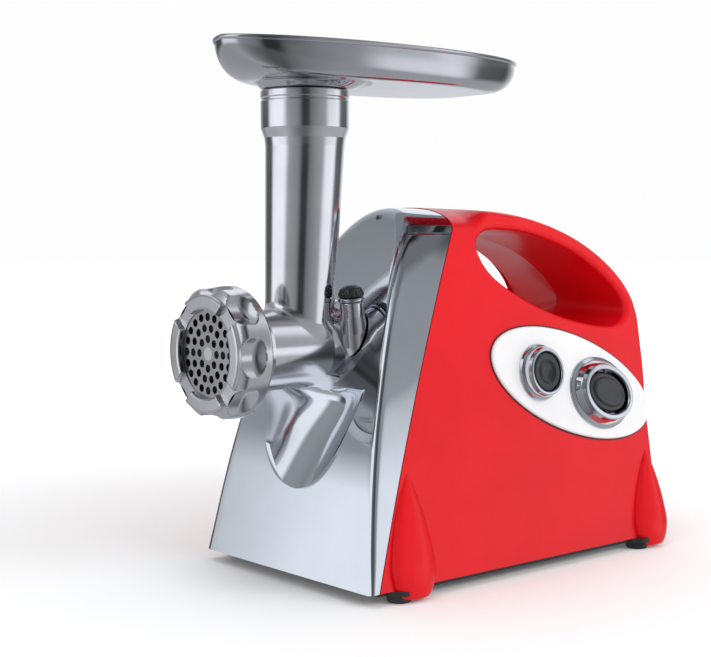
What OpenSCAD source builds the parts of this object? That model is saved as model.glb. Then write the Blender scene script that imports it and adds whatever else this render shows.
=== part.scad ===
// Electric meat grinder: a cast head with its feed tube and tray, a chrome front cover, a red
// housing in two halves with a hand slot, and a geared universal motor inside.
// +X is the side with the controls, -Y is the outlet end and +Z is up. The origin is on the ground
// under the middle of the grinder. Sizes are in millimetres.

/* [Housing] */
// Height of the roof above the ground
roof_z = 235; // [233:1:237]
// Height of the housing's lower edge
base_z = 8; // [7:0.5:9]
// Half width of the housing at its lower edge
base_half_w = 84; // [82:1:86]
// How far each side leans in, in degrees
side_lean = 9.3; // [9:0.1:9.6]
// Rear face of the housing
rear_y = 167.4; // [165:0.1:168]
// Wall thickness of the moulded shells
wall = 2.5; // [2:0.1:3]
// Height at which the sides turn into the arched roof
shoulder_z = 218; // [216:1:220]

/* [Front cover] */
// Where the front face meets the ground line
front_y0 = -110; // [-112:1:-108]
// Half the width of the hollow under the barrel
scoop_r = 60; // [56:1:62]
// Height of the lowest point of that hollow
scoop_tip_z = 59; // [56:1:62]

/* [Head] */
// Height of the barrel's axis
barrel_z = 147; // [147:1:147]
// Radius of the bore that the auger turns in
bore_r = 19; // [18.5:0.1:19.2]
// Outer radius of the barrel
barrel_r = 25; // [24:0.1:25.5]
// Place of the feed tube's axis along the barrel
tube_y = -91; // [-92:1:-90]
// Height of the feed tube's rim
tube_top_z = 306; // [300:1:308]
// Outer radius of the ring nut
ring_r = 40; // [38:0.5:41]
// Front face of the ring nut
ring_front_y = -169; // [-169:1:-169]

/* [Tray] */
// Length of the tray over its rim
tray_l = 242; // [236:1:244]
// Width of the tray over its rim
tray_w = 114; // [108:1:120]
// Height of the tray's rim
tray_rim_z = 336; // [334:1:338]

/* [Controls] */
// Tilt of the oval control panel, rear end down, in degrees
panel_tilt = 19; // [17:0.5:21]
// Length of the control panel
panel_l = 158; // [154:1:160]
// Width of the control panel
panel_w = 66; // [64:1:68]

/* [Gear train] */
// Teeth on each of the three pinions
pinion_teeth = 12; // [12:1:12]
// Radius of the intermediate shafts
gear_shaft_r = 4; // [3.5:0.1:4]
// Height of the motor's axis
motor_z = 75; // [75:1:75]

/* [Hidden] */
$fn = 64;
eps = 0.01;
reach = 400;
run_gap = 0.05;
slide_gap = 0.3;

red = "crimson";
chrome = "silver";
steel = "lightsteelblue";
cast = "gainsboro";
black = "dimgray";
copper = "peru";

// ---- Curves that the housing follows ----

front_lean = 0.143;
front_curl = 0.000004;
seam_y0 = -106;
seam_lean = 0.37;
seam_curl = 0.00027;
rear_edge_z = 155;
front_top_y = -22;
tongue_from_z = 110;
tongue_power = 2.3;
nose_top_z = roof_z - 1.5;
nose_levels = 30;

// Half width between the leaning sides at height z.
function half_w(z) = base_half_w - (z - base_z) * tan(side_lean);

// Front face: it leans back a little at the ground and more towards the top.
function front_y(z) = front_y0 + front_lean * z + front_curl * z * z * z;

// Joint between the chrome front cover and the red shells.
function seam_y(z) = seam_y0 + seam_lean * z + seam_curl * z * z;

// Roof line: level over the gearbox, then one falling curve down to the rear edge.
function roof_line(y) = y <= 0 ? roof_z
    : rear_edge_z + (roof_z - rear_edge_z) * pow(max(0, 1 - pow(y / rear_y, 2.1)), 0.545);

// Half width of the front face, a tongue with an arched top.
function tongue_w(z) = half_w(z) * pow(1 - pow(max(0, z - tongue_from_z)
    / (roof_z - tongue_from_z), tongue_power), 1 / tongue_power);

// Half width of the arched section behind the front face.
function arch_w(z) = z <= shoulder_z ? half_w(z)
    : half_w(shoulder_z) * sqrt(1 - pow((z - shoulder_z) / (roof_z - shoulder_z), 2));

// The inner outlines start a little lower than the outer ones, so that the shells are open below.
function floor_z(inset) = base_z - (inset > 0 ? 1 : 0);

// Side outline of the housing, moved inwards by inset.
function side_outline(inset) = concat(
    [[front_y(base_z) + inset, floor_z(inset)]],
    [for (z = [base_z + 14 : 14 : roof_z - 3]) [front_y(z) + inset, z - inset / 2]],
    [[front_top_y + inset, roof_z - inset]],
    [for (i = [0 : 18]) let (y = rear_y * sin(i * 5))
        [y * (rear_y - inset) / rear_y, roof_line(y) - inset]],
    [[rear_y - inset, floor_z(inset)]]
);

// Cross-section of the housing, moved inwards by inset.
function arch_outline(inset) = concat(
    [[half_w(floor_z(inset)) - inset, floor_z(inset)]],
    [for (a = [0 : 10 : 180])
        [(half_w(shoulder_z) - inset) * cos(a), shoulder_z - inset + (roof_z - shoulder_z) * sin(a)]],
    [[-half_w(floor_z(inset)) + inset, floor_z(inset)]]
);

// ---- Small helpers ----

// Points of a closed smooth curve through the given points.
function blend4(a, b, c, d, t) = 0.5 * (2 * b + (c - a) * t + (2 * a - 5 * b + 4 * c - d) * t * t
    + (3 * b - a - 3 * c + d) * t * t * t);
function smooth_loop(p, steps) = [for (i = [0 : len(p) - 1], k = [0 : steps - 1])
    blend4(p[(i + len(p) - 1) % len(p)], p[i], p[(i + 1) % len(p)], p[(i + 2) % len(p)], k / steps)];

// The same closed outline moved outwards by d; the points run clockwise.
function grown(p, d) = [for (i = [0 : len(p) - 1])
    let (t = p[(i + 1) % len(p)] - p[(i + len(p) - 1) % len(p)])
    p[i] + d * [-t[1], t[0]] / norm(t)];

// An outline in Y and Z, drawn out along X.
module along_x(x0, x1) {
    translate([x0, 0, 0]) rotate([90, 0, 90]) linear_extrude(x1 - x0) children();
}

// An outline in X and Z, drawn out along Y.
module along_y(y0, y1) {
    translate([0, y1, 0]) rotate([90, 0, 0]) linear_extrude(y1 - y0) children();
}

// A round bar along Y.
module bar_y(x, z, r, y0, y1) {
    translate([x, y0, z]) rotate([-90, 0, 0]) cylinder(r = r, h = y1 - y0);
}

// A cone along Y, from radius r0 at y0 to r1 at y1.
module cone_y(z, r0, y0, r1, y1) {
    translate([0, y0, z]) rotate([-90, 0, 0]) cylinder(r1 = r0, r2 = r1, h = y1 - y0);
}

// A ring along Y.
module ring_y(x, z, r_out, r_in, y0, y1) {
    difference() {
        bar_y(x, z, r_out, y0, y1);
        bar_y(x, z, r_in, y0 - 1, y1 + 1);
    }
}

// Places its children on the leaning side: local z points out, local x down, local y to the rear.
module on_side(y, z) {
    translate([half_w(z), y, z]) rotate([0, 90 - side_lean, 0]) rotate([0, 0, -panel_tilt]) children();
}

// An upright oval block with half lengths a and b.
module oval(a, b, z0, z1) {
    translate([0, 0, z0]) scale([a, b, 1]) cylinder(r = 1, h = z1 - z0);
}

// ---- Housing ----

slot_points = [[11, 209], [20, 219], [40, 220], [66, 217], [104, 205], [138, 184], [151, 166],
    [138, 154], [100, 158], [58, 171], [23, 190]];
slot_steps = 5;
foot_x = 80;
foot_front_y = -84;
foot_rear_y = 139;
fairing_r = 18.5;
fairing_x = 73.5;
fairing_z = 24;
fairing_front = [-77, -72, 71];
fairing_rear = [149.2, 155, 63];
boss_places = [[150, 36], [152, 132], [32, 166], [-62, 30], [-3, 203]];
boss_r = 4.5;
screw_r = 1.6;
head_seat_x = -25;
vent_count = 6;
inlet_x = -30;
inlet_z = 34;

module housing_solid(inset) {
    intersection() {
        along_x(-reach / 2, reach / 2) polygon(side_outline(inset));
        along_y(-reach / 2, reach / 2) polygon(arch_outline(inset));
    }
}

module ahead_of_seam(offset_y) {
    along_x(-reach / 2, reach / 2) polygon(concat(
        [[-reach, -20], [seam_y(0) + offset_y, -20]],
        [for (z = [0 : 20 : 240]) [seam_y(z) + offset_y, z]],
        [[-reach, 260]]));
}

// A leg fairing: a rounded lump on the leaning side that runs up to a point.
module fairing(place) {
    intersection() {
        hull() {
            translate([fairing_x, place[0], fairing_z]) sphere(fairing_r, $fn = 32);
            translate([fairing_x + 1.5, place[1], place[2]]) sphere(1.5, $fn = 32);
        }
        translate([0, -reach / 2, base_z]) cube([reach, reach, reach]);
    }
}

// Everything that lies at least gap in front of the front face.
module ahead_of_front(gap) {
    along_x(-reach / 2, reach / 2) polygon(concat(
        [[-reach, 100]], [for (z = [100 : 10 : 200]) [front_y(z) - gap, z]], [[-reach, 200]]));
}

module slot_prism(extra) {
    along_x(-reach / 2, reach / 2) polygon(grown(smooth_loop(slot_points, slot_steps), extra));
}

// The control side half; the other half mirrors it and has no controls.
module half_shell() {
    difference() {
        union() {
            difference() {
                union() {
                    housing_solid(0);
                    fairing(fairing_front);
                    fairing(fairing_rear);
                }
                difference() {
                    housing_solid(wall);
                    slot_prism(wall);
                }
            }
            intersection() {
                housing_solid(wall / 2);
                for (b = boss_places) along_x(0, reach) translate(b) circle(boss_r);
            }
        }
        ahead_of_seam(0.2);
        slot_prism(0);
        for (b = boss_places) along_x(-1, 18) translate(b) circle(screw_r);
        translate([-reach, -reach / 2, -reach / 2]) cube([reach, reach, 2 * reach]);
        for (i = [0 : vent_count - 1]) translate([14, rear_y - 12, 62 + 9 * i]) cube([38, 20, 4]);
    }
}

module right_shell() {
    color(red) difference() {
        half_shell();
        on_side(86, 117) oval(27, 70, -12, 1);
    }
}

module left_shell() {
    color(red) difference() {
        mirror([1, 0, 0]) half_shell();
        for (b = boss_places) along_x(-reach, head_seat_x) translate(b) circle(3.8);
        for (b = boss_places) along_x(-30, 1) translate(b) circle(screw_r);
        bar_y(inlet_x, inlet_z, 8, rear_y - 8, rear_y + 8);
    }
}

module housing_screws() {
    color(steel) for (b = boss_places) {
        along_x(head_seat_x - 2.4, head_seat_x) translate(b) circle(3.4);
        along_x(head_seat_x, 14) translate(b) circle(screw_r);
    }
}

// Chrome cover: level outlines from the front face back to the seam, closed over the top.
function nose_level(z, w_z, inset, back) = let (
        wf = max(1, tongue_w(w_z) - inset), ws = max(2, arch_w(w_z) - inset),
        yf = front_y(z) + inset, ys = seam_y(z) + back)
    [[-wf, yf, z], [wf, yf, z], [ws, ys, z], [-ws, ys, z]];

module nose(inset, back, low_z) {
    top_z = nose_top_z - inset;
    heights = [for (k = [0 : nose_levels])
        low_z + (top_z - low_z) * (1 - pow(1 - k / nose_levels, 1.6))];
    points = [for (z = heights) each nose_level(z, min(nose_top_z, z + inset), inset, back)];
    last = 4 * nose_levels;
    polyhedron(points, concat(
        [[0, 1, 2], [0, 2, 3], [last + 2, last + 1, last], [last + 3, last + 2, last]],
        [for (k = [0 : nose_levels - 1], i = [0 : 3]) let (a = 4 * k + i, b = 4 * k + (i + 1) % 4) each
            [[a, a + 4, b + 4], [a, b + 4, b]]]));
}

scoop_tilt = 37;
scoop_top_z = 113;
socket_r_out = 30;
socket_r_in = 25.3;
socket_front_y = -66;
socket_rear_y = -44;

// A tilted round bar whose rearmost line starts at the hollow's lowest point.
module scoop_bar(extra) {
    translate([0, front_y(scoop_tip_z), scoop_tip_z]) rotate([-scoop_tilt, 0, 0])
        translate([0, -scoop_r, -60]) cylinder(r = scoop_r + extra, h = 180, $fn = 96);
}

module below(z) {
    translate([-reach / 2, -reach / 2, z - reach]) cube([reach, reach, reach]);
}

module front_cover() {
    color(chrome) difference() {
        union() {
            difference() {
                nose(0, 0, base_z);
                nose(wall, 8, base_z - 4);
            }
            intersection() {
                nose(0, 0, base_z);
                scoop_bar(wall);
                below(scoop_top_z + wall);
            }
        }
        intersection() {
            scoop_bar(0);
            below(scoop_top_z);
        }
        bar_y(0, barrel_z, socket_r_out + 0.4, -reach / 2, -34);
    }
}

module base_outline() {
    polygon([[-80, -100], [80, -100], [81, 150], [72, 162], [-72, 162], [-81, 150]]);
    for (sx = [-1, 1], y = [foot_front_y, foot_rear_y]) translate([sx * foot_x, y]) circle(10);
}

module base_plate() {
    color(black) difference() {
        translate([0, 0, 5]) linear_extrude(base_z - 5) base_outline();
        for (i = [0 : 8]) translate([-34, 20 + 9 * i, 0]) cube([68, 4, 20]);
        for (sx = [-1, 1], y = [foot_front_y, foot_rear_y])
            translate([sx * foot_x, y, 0]) cylinder(r = 2.2, h = 20);
    }
}

module rubber_feet() {
    color(black) for (sx = [-1, 1], y = [foot_front_y, foot_rear_y]) translate([sx * foot_x, y, 0])
        difference() {
            cylinder(r1 = 7, r2 = 8, h = 5);
            translate([0, 0, 2]) cylinder(r = 4, h = 10);
        }
}

module base_screws() {
    color(steel) for (sx = [-1, 1], y = [foot_front_y, foot_rear_y]) translate([sx * foot_x, y, 0]) {
        translate([0, 0, 2.6]) cylinder(r = 3.6, h = 2.4);
        translate([0, 0, 5]) cylinder(r = 1.9, h = base_z - 5);
    }
}

module cord_inlet() {
    color(black) difference() {
        union() {
            bar_y(inlet_x, inlet_z, 11, rear_y, rear_y + 1.6);
            bar_y(inlet_x, inlet_z, 7.8, rear_y - 9, rear_y);
        }
        bar_y(inlet_x, inlet_z, 4, rear_y - 20, rear_y + 20);
    }
}

// ---- Controls ----

panel_y = 86;
panel_z = 117;
panel_t = 2.2;
reverse_at = [2, -35.5];
power_at = [0, 25];
cap_r = 12.6;
reverse_hole_r = 13.1;
rocker_a = 13;
rocker_b = 19;
rocker_gap = 1.6;
rocker_pivot_z = 5;
rocker_pin_r = 1.2;

module on_panel(at = [0, 0]) {
    on_side(panel_y, panel_z) translate([at[0], at[1], 0]) children();
}

module control_panel() {
    color("white") on_panel() difference() {
        oval(panel_w / 2, panel_l / 2, 0, panel_t);
        translate([reverse_at[0], reverse_at[1], -1]) cylinder(r = 6, h = 9);
        translate([power_at[0], power_at[1], 0]) oval(rocker_a + rocker_gap, rocker_b + rocker_gap, -1, 9);
    }
}

module reverse_bezel() {
    color(chrome) on_panel(reverse_at) difference() {
        union() {
            translate([0, 0, panel_t]) cylinder(r1 = 19, r2 = 17.6, h = 2.5);
            translate([0, 0, panel_t + 2.5]) cylinder(r1 = 17.6, r2 = 15.6, h = 6);
        }
        translate([0, 0, -1]) cylinder(r = reverse_hole_r, h = 20);
    }
}

module reverse_button() {
    color(black) on_panel(reverse_at) {
        difference() {
            translate([0, 0, 5.8]) cylinder(r = cap_r, h = 4.2);
            translate([0, 0, 33.5]) sphere(25.5);
        }
        translate([0, 0, -9]) cylinder(r = 5, h = 15);
    }
}

module reverse_switch() {
    color(black) on_panel(reverse_at) translate([-8, -8, -28]) cube([16, 16, 15.5]);
}

module power_bezel() {
    color(chrome) on_panel(power_at) difference() {
        union() {
            oval(24.5, 31, panel_t, panel_t + 3);
            oval(22, 28, panel_t + 3, panel_t + 6.5);
            oval(19.4, 25.2, panel_t + 6.5, panel_t + 9.6);
        }
        oval(rocker_a + rocker_gap, rocker_b + rocker_gap, -1, 20);
    }
}

module power_rocker() {
    color(black) on_panel(power_at) difference() {
        union() {
            oval(rocker_a, rocker_b, 2.6, 10);
            oval(rocker_a - 3, rocker_b - 7, 10, 11.2);
        }
        translate([0, 0, rocker_pivot_z]) rotate([0, 90, 0])
            cylinder(r = rocker_pin_r + run_gap, h = 40, center = true);
    }
}

module rocker_pin() {
    color(steel) on_panel(power_at) translate([0, 0, rocker_pivot_z]) rotate([0, 90, 0])
        cylinder(r = rocker_pin_r, h = 2 * (rocker_a + rocker_gap) - 0.1, center = true);
}

module power_switch() {
    color(black) on_panel(power_at) translate([-10, -14, -24]) cube([20, 28, 21]);
}

// ---- Head ----

barrel_front_y = -163.6;
mouth_r = 27.4;
plate_r = 27;
thread_r = 31;
mouth_y = -150;
barrel_rear_y = -74;
flange_r = 28;
shank_r = socket_r_in - slide_gap;
shank_rear_y = -47;
cup_r = 27.5;
cup_z = 280;
tube_r_top = 25;
tube_r_low = 22;
throat_r = 19;
throat_low_r = 17.5;
throat_low_l = 22;
throat_l = 110;
tube_lean = 2.6;
cup_ledge = 0.5;
cup_bore_r = 25;
lock_x = 27;
lock_y = -76;
lock_z = 176;
lock_tilt = 6;
lock_r = 8.3;
lock_screw_l = 12;

// Places its children on the lock's axis, with local z pointing up along it.
module at_lock() {
    translate([lock_x, lock_y, lock_z]) rotate([lock_tilt, 0, 0]) children();
}

// Places its children on the feed tube's leaning axis, with local z pointing up from below the cup.
module at_tube() {
    translate([0, tube_y, cup_z - 6]) rotate([-tube_lean, 0, 0]) children();
}

module head_casting() {
    color(cast) difference() {
        union() {
            bar_y(0, barrel_z, thread_r, barrel_front_y, -147);
            cone_y(barrel_z, thread_r, -147, barrel_r, -137);
            bar_y(0, barrel_z, barrel_r, -137, -84);
            cone_y(barrel_z, barrel_r, -84, flange_r, -76);
            bar_y(0, barrel_z, flange_r, -76, socket_front_y - 0.5);
            bar_y(0, barrel_z, shank_r, -70, shank_rear_y);
            at_tube() translate([0, 0, -throat_l - 19]) cylinder(r = tube_r_low, h = 23);
            at_tube() translate([0, 0, 4 - throat_l])
                cylinder(r1 = tube_r_low, r2 = tube_r_top, h = throat_l - 2);
            translate([0, tube_y, cup_z - 6]) cylinder(r1 = tube_r_top + cup_ledge, r2 = cup_r, h = 6);
            translate([0, tube_y, cup_z]) cylinder(r = cup_r, h = tube_top_z - cup_z);
            intersection() {
                at_lock() translate([0, 0, -24]) cylinder(r = 7.4, h = 24);
                ahead_of_front(1.2);
            }
        }
        bar_y(0, barrel_z, mouth_r, -reach / 2, mouth_y);
        bar_y(0, barrel_z, bore_r, mouth_y - 1, barrel_rear_y);
        bar_y(0, barrel_z, 11, barrel_rear_y - 1, socket_front_y + 1);
        bar_y(0, barrel_z, 14, socket_front_y, 0);
        // The throat is drawn in at its foot, so that a pusher stops above the auger.
        at_tube() translate([0, 0, 3 - throat_l - throat_low_l])
            cylinder(r = throat_low_r, h = throat_low_l + 1);
        at_tube() translate([0, 0, 3 - throat_l]) cylinder(r = throat_r, h = throat_l);
        at_tube() translate([0, 0, 3]) cylinder(r = throat_r + 2, h = 8);
        translate([0, tube_y, cup_z + 1]) cylinder(r = cup_bore_r, h = 60);
        at_lock() translate([0, 0, -lock_screw_l - 0.5]) cylinder(r = 3 + run_gap, h = 60);
    }
}

module lock_screw() {
    color(steel) at_lock() translate([0, 0, -lock_screw_l]) cylinder(r = 3, h = lock_screw_l + 1.4);
}

module lock_collar() {
    color(chrome) at_lock() translate([0, 0, 0.4]) difference() {
        cylinder(r1 = lock_r, r2 = lock_r - 0.4, h = 2.8);
        translate([0, 0, -1]) cylinder(r = 3, h = 2);
    }
}

module lock_knob() {
    color(black) at_lock() translate([0, 0, 3.2]) intersection() {
        cylinder(r = lock_r - 0.3, h = 7.5);
        translate([0, 0, -8]) sphere(15.5);
    }
}

module auger_bush() {
    color("white") ring_y(0, barrel_z, 11, 8 + run_gap, barrel_rear_y + 0.4, socket_front_y);
}

flight_turns = 3;
flight_r = bore_r - slide_gap;

module auger() {
    color(cast) {
        bar_y(0, barrel_z, 9, -152, -75);
        bar_y(0, barrel_z, 8, -75, -65);
        translate([0, -58, barrel_z]) cube([9.4, 15, 9.4], center = true);
        translate([0, -155.8, barrel_z]) cube([9.4, 8, 9.4], center = true);
        bar_y(0, barrel_z, 4, plate_y0, -155);
        translate([0, -80, barrel_z]) rotate([90, 0, 0])
            linear_extrude(70, twist = -360 * flight_turns, slices = 54) flight_outline();
    }
}

// The flight's section across the axis: a curved wedge from the core out to the bore.
module flight_outline() {
    polygon(concat(
        [for (a = [-60 : 40 : 60]) 7 * [cos(a), sin(a)]],
        [for (a = [24 : -12 : -24]) flight_r * [cos(a), sin(a)]]));
}

knife_y0 = -159.8;
knife_y1 = -154;

module knife() {
    color(steel) difference() {
        union() {
            bar_y(0, barrel_z, 9, knife_y0, knife_y1);
            for (a = [0 : 90 : 270]) translate([0, 0, barrel_z]) rotate([0, a, 0])
                translate([0, knife_y0, -4]) cube([24, knife_y1 - knife_y0, 7]);
        }
        translate([0, -156, barrel_z]) cube([9.6, 20, 9.6], center = true);
    }
}

plate_y0 = -165;
plate_y1 = -160;
hole_r = 2.4;

module cutting_plate() {
    color(steel) difference() {
        bar_y(0, barrel_z, plate_r, plate_y0, plate_y1);
        bar_y(0, barrel_z, 4 + run_gap, plate_y0 - 1, plate_y1 + 1);
        for (ring = [1 : 3], k = [0 : 6 * ring + 1]) let (a = 360 * k / (6 * ring + 2))
            bar_y((2.2 + 6.6 * ring) * cos(a), barrel_z + (2.2 + 6.6 * ring) * sin(a), hole_r,
                plate_y0 - 1, plate_y1 + 1);
    }
}

ring_rear_y = -146;
lobes = 8;
flute_r = 17.2;
flute_out = 51.2;
flute_rear_y = -151;
ring_lip_r = 35.4;
ring_lobe_y = -166;

module ring_nut() {
    color(cast) difference() {
        union() {
            bar_y(0, barrel_z, ring_r, ring_lobe_y + 3, ring_rear_y);
            cone_y(barrel_z, ring_lip_r, ring_lobe_y, ring_r, ring_lobe_y + 3);
            bar_y(0, barrel_z, ring_lip_r, ring_front_y, ring_lobe_y);
        }
        bar_y(0, barrel_z, 26.4, -reach, 0);
        bar_y(0, barrel_z, thread_r + slide_gap, plate_y0, 0);
        for (k = [0 : lobes - 1]) let (a = 360 * k / lobes)
            bar_y(flute_out * cos(a), barrel_z + flute_out * sin(a), flute_r, ring_lobe_y, flute_rear_y);
        for (k = [0 : 3]) translate([0, 0, barrel_z]) rotate([0, 45 + 90 * k, 0])
            translate([20, ring_front_y - 1, -7.5]) cube([30, 4.6, 15]);
    }
}

// ---- Tray ----

tray_mid_y = -34;
tray_floor_z = tube_top_z + 1.2;
tray_t = 1.5;
tray_flare = 0.83;

module tray() {
    squash_x = tray_w / tray_l;
    color(steel) difference() {
        union() {
            translate([0, tray_mid_y, tray_floor_z - 1]) scale([squash_x, 1, 1])
                cylinder(r1 = tray_l / 2 * tray_flare, r2 = tray_l / 2,
                    h = tray_rim_z - tray_floor_z + 1, $fn = 96);
            translate([0, tube_y, cup_z + 3]) cylinder(r = cup_bore_r - slide_gap, h = 24);
        }
        translate([0, tray_mid_y, tray_floor_z + tray_t - 1]) scale([squash_x, 1, 1])
            cylinder(r1 = tray_l / 2 * tray_flare - tray_t, r2 = tray_l / 2 - tray_t,
                h = tray_rim_z - tray_floor_z + 1, $fn = 96);
        translate([0, tube_y, cup_z]) cylinder(r = throat_r + 3.5, h = 80);
    }
}

// ---- Drive ----

module outlet_socket() {
    color(chrome) difference() {
        union() {
            bar_y(0, barrel_z, socket_r_out, socket_front_y, socket_rear_y);
            bar_y(0, barrel_z, 34, socket_rear_y - 4, socket_rear_y);
        }
        bar_y(0, barrel_z, socket_r_in, -reach / 2, 0);
    }
}

pinion_a_m = 1;
pinion_b_m = 1.25;
pinion_c_m = 1.5;
first_teeth = 44;
second_teeth = 38;
output_teeth = 43;
pressure_angle = 20;
tooth_play = 0.14;

function centre_distance(teeth, m) = (pinion_teeth + teeth) * m / 2;

// Where two circles cross, on the +X side of the line from p to q.
function crossing(p, rp, q, rq) = let (d = norm(q - p), u = (q - p) / d,
        a = (rp * rp - rq * rq + d * d) / (2 * d), h = sqrt(rp * rp - a * a))
    p + a * u + h * [u[1], -u[0]];

motor_at = [0, motor_z];
output_at = [0, barrel_z];
first_dir = 135.6;
first_at = motor_at + centre_distance(first_teeth, pinion_a_m) * [cos(first_dir), sin(first_dir)];
second_at = crossing(first_at, centre_distance(second_teeth, pinion_b_m),
    output_at, centre_distance(output_teeth, pinion_c_m));

// Direction from one shaft to the next, in the gear's own plane.
function mesh_angle(p, q) = atan2(p[1] - q[1], q[0] - p[0]);
function involute(a) = tan(a) - a * PI / 180;

// Turns a driven wheel so that one of its gaps takes the pinion's tooth.
function facing(angle, teeth) = angle + 180 + 180 / teeth;

// Half the angle that a tooth covers at radius r, in degrees.
function tooth_half_angle(teeth, m, r) = let (rp = teeth * m / 2, rb = rp * cos(pressure_angle))
    90 / teeth - tooth_play * m / rp * 90 / PI
    + (involute(pressure_angle) - involute(acos(min(1, rb / r)))) * 180 / PI;

function tooth_side(teeth, m) = let (rp = teeth * m / 2, rb = rp * cos(pressure_angle),
        root = rp - 1.2 * m, low = max(root, rb), tip = rp + 0.85 * m)
    concat([[root, tooth_half_angle(teeth, m, low) * (root < rb ? 0.8 : 1)]],
        [for (k = [0 : 4]) let (r = low + (tip - low) * k / 4) [r, tooth_half_angle(teeth, m, r)]]);

function gear_points(teeth, m, phase) = let (side = tooth_side(teeth, m), last = len(side) - 1)
    [for (t = [0 : teeth - 1], s = [0 : 2 * last + 1])
        let (p = s <= last ? side[s] : side[2 * last + 1 - s], sign = s <= last ? -1 : 1,
            a = phase + 360 * t / teeth + sign * p[1])
        p[0] * [cos(a), sin(a)]];

// A toothed wheel between the two ends of span along Y.
module gear(at, teeth, m, phase, span, bore) {
    difference() {
        translate([at[0], span[0], at[1]]) rotate([-90, 0, 0])
            linear_extrude(span[1] - span[0]) polygon(gear_points(teeth, m, phase));
        bar_y(at[0], at[1], bore, span[0] - 1, span[1] + 1);
    }
}

angle_1 = mesh_angle(motor_at, first_at);
angle_2 = mesh_angle(first_at, second_at);
angle_3 = mesh_angle(second_at, output_at);
stage_1 = [-9, -1];
stage_2 = [-21, -11];
stage_3 = [-37, -23];
box_back_y = 8;
box_inner_y = 4;
cover_y0 = -44;
cover_y1 = -40;
pinion_shaft_r = 3;
output_r = 8;
gearbox_wall = 3;
gearbox_screw_r = 1.2;
gearbox_screw_places = [[-37.5, 147], [37.5, 147], [0, 184.5], [0, 64.5], [37, 104]];

module motor_pinion() {
    color(steel) gear(motor_at, pinion_teeth, pinion_a_m, angle_1, stage_1, pinion_shaft_r);
}

module first_gear() {
    color("ivory") {
        gear(first_at, first_teeth, pinion_a_m, facing(angle_1, first_teeth), stage_1, eps);
        gear(first_at, pinion_teeth, pinion_b_m, angle_2, stage_2, eps);
        bar_y(first_at[0], first_at[1], gear_shaft_r, cover_y0 + 0.5, box_back_y - 0.5);
    }
}

module second_gear() {
    color("ivory") {
        gear(second_at, second_teeth, pinion_b_m, facing(angle_2, second_teeth), stage_2, eps);
        gear(second_at, pinion_teeth, pinion_c_m, angle_3, stage_3, eps);
        bar_y(second_at[0], second_at[1], gear_shaft_r, cover_y0 + 0.5, box_back_y - 0.5);
    }
}

module output_gear() {
    color("ivory")
        gear(output_at, output_teeth, pinion_c_m, facing(angle_3, output_teeth), stage_3, output_r);
}

module output_shaft() {
    color(steel) difference() {
        union() {
            bar_y(0, barrel_z, output_r, -50, box_back_y - 0.5);
            bar_y(0, barrel_z, 12, -64, -48);
        }
        translate([0, -58, barrel_z]) cube([10, 16.6, 10], center = true);
    }
}

module output_bearing() {
    color(steel) ring_y(0, barrel_z, 15, output_r + run_gap, -46.5, -39.5);
}

// The gearbox's outline: one round chamber for each shaft.
module gearbox_bars(extra, y0, y1) {
    bar_y(output_at[0], output_at[1], 36 + extra, y0, y1);
    bar_y(second_at[0], second_at[1], 27 + extra, y0, y1);
    bar_y(first_at[0], first_at[1], 25 + extra, y0, y1);
    bar_y(motor_at[0], motor_at[1], 9 + extra, y0, y1);
}

module gearbox_housing() {
    color(black) difference() {
        gearbox_bars(gearbox_wall, cover_y1, box_back_y);
        gearbox_bars(0, cover_y1 - 1, box_inner_y);
        bar_y(first_at[0], first_at[1], gear_shaft_r + run_gap, 0, 20);
        bar_y(second_at[0], second_at[1], gear_shaft_r + run_gap, 0, 20);
        bar_y(output_at[0], output_at[1], output_r + run_gap, 0, 20);
        bar_y(motor_at[0], motor_at[1], pinion_shaft_r + 1, 0, 20);
    }
}

module gearbox_cover() {
    color(black) difference() {
        gearbox_bars(gearbox_wall, cover_y0, cover_y1);
        bar_y(first_at[0], first_at[1], gear_shaft_r + run_gap, -60, 0);
        bar_y(second_at[0], second_at[1], gear_shaft_r + run_gap, -60, 0);
        bar_y(output_at[0], output_at[1], 15, -60, 0);
        for (p = gearbox_screw_places) bar_y(p[0], p[1], gearbox_screw_r, -60, 0);
    }
}

module gearbox_screws() {
    color(steel) for (p = gearbox_screw_places) {
        bar_y(p[0], p[1], gearbox_screw_r, cover_y0, cover_y1);
        bar_y(p[0], p[1], 2.6, cover_y0 - 2, cover_y0);
    }
}

// ---- Motor ----

journal_r = 5;

module motor_shaft() {
    color(steel) {
        bar_y(0, motor_z, pinion_shaft_r, stage_1[0], 10);
        bar_y(0, motor_z, journal_r, 10, 112);
    }
}

module motor_bearings() {
    color(steel) {
        ring_y(0, motor_z, 11, journal_r + run_gap, 10.5, 16.5);
        ring_y(0, motor_z, 11, journal_r + run_gap, 104, 110);
    }
}

// A round motor end bracket with four windows.
module motor_bracket(y0, y1) {
    difference() {
        bar_y(0, motor_z, 41, y0, y1);
        bar_y(0, motor_z, 11, y0 - 1, y1 + 1);
        for (a = [45 : 90 : 315]) bar_y(26 * cos(a), motor_z + 26 * sin(a), 9, y0 - 1, y1 + 1);
    }
}

module motor_front_bracket() {
    color(cast) motor_bracket(12, 16);
}

module motor_rear_bracket() {
    color(cast) {
        motor_bracket(105, 109);
        for (sx = [-1, 1]) translate([sx * 33 - 3, 72.5, motor_z - 6]) cube([6, 33, 12]);
    }
}

module cooling_fan() {
    color("ivory") {
        ring_y(0, motor_z, 12, journal_r, 18, 30);
        ring_y(0, motor_z, 36, 11, 18, 20);
        for (k = [0 : 10]) translate([0, 0, motor_z]) rotate([0, 360 * k / 11, 0])
            translate([11, 19, -1]) rotate([0, 12, 0]) cube([24, 10, 1.8]);
    }
}

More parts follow.
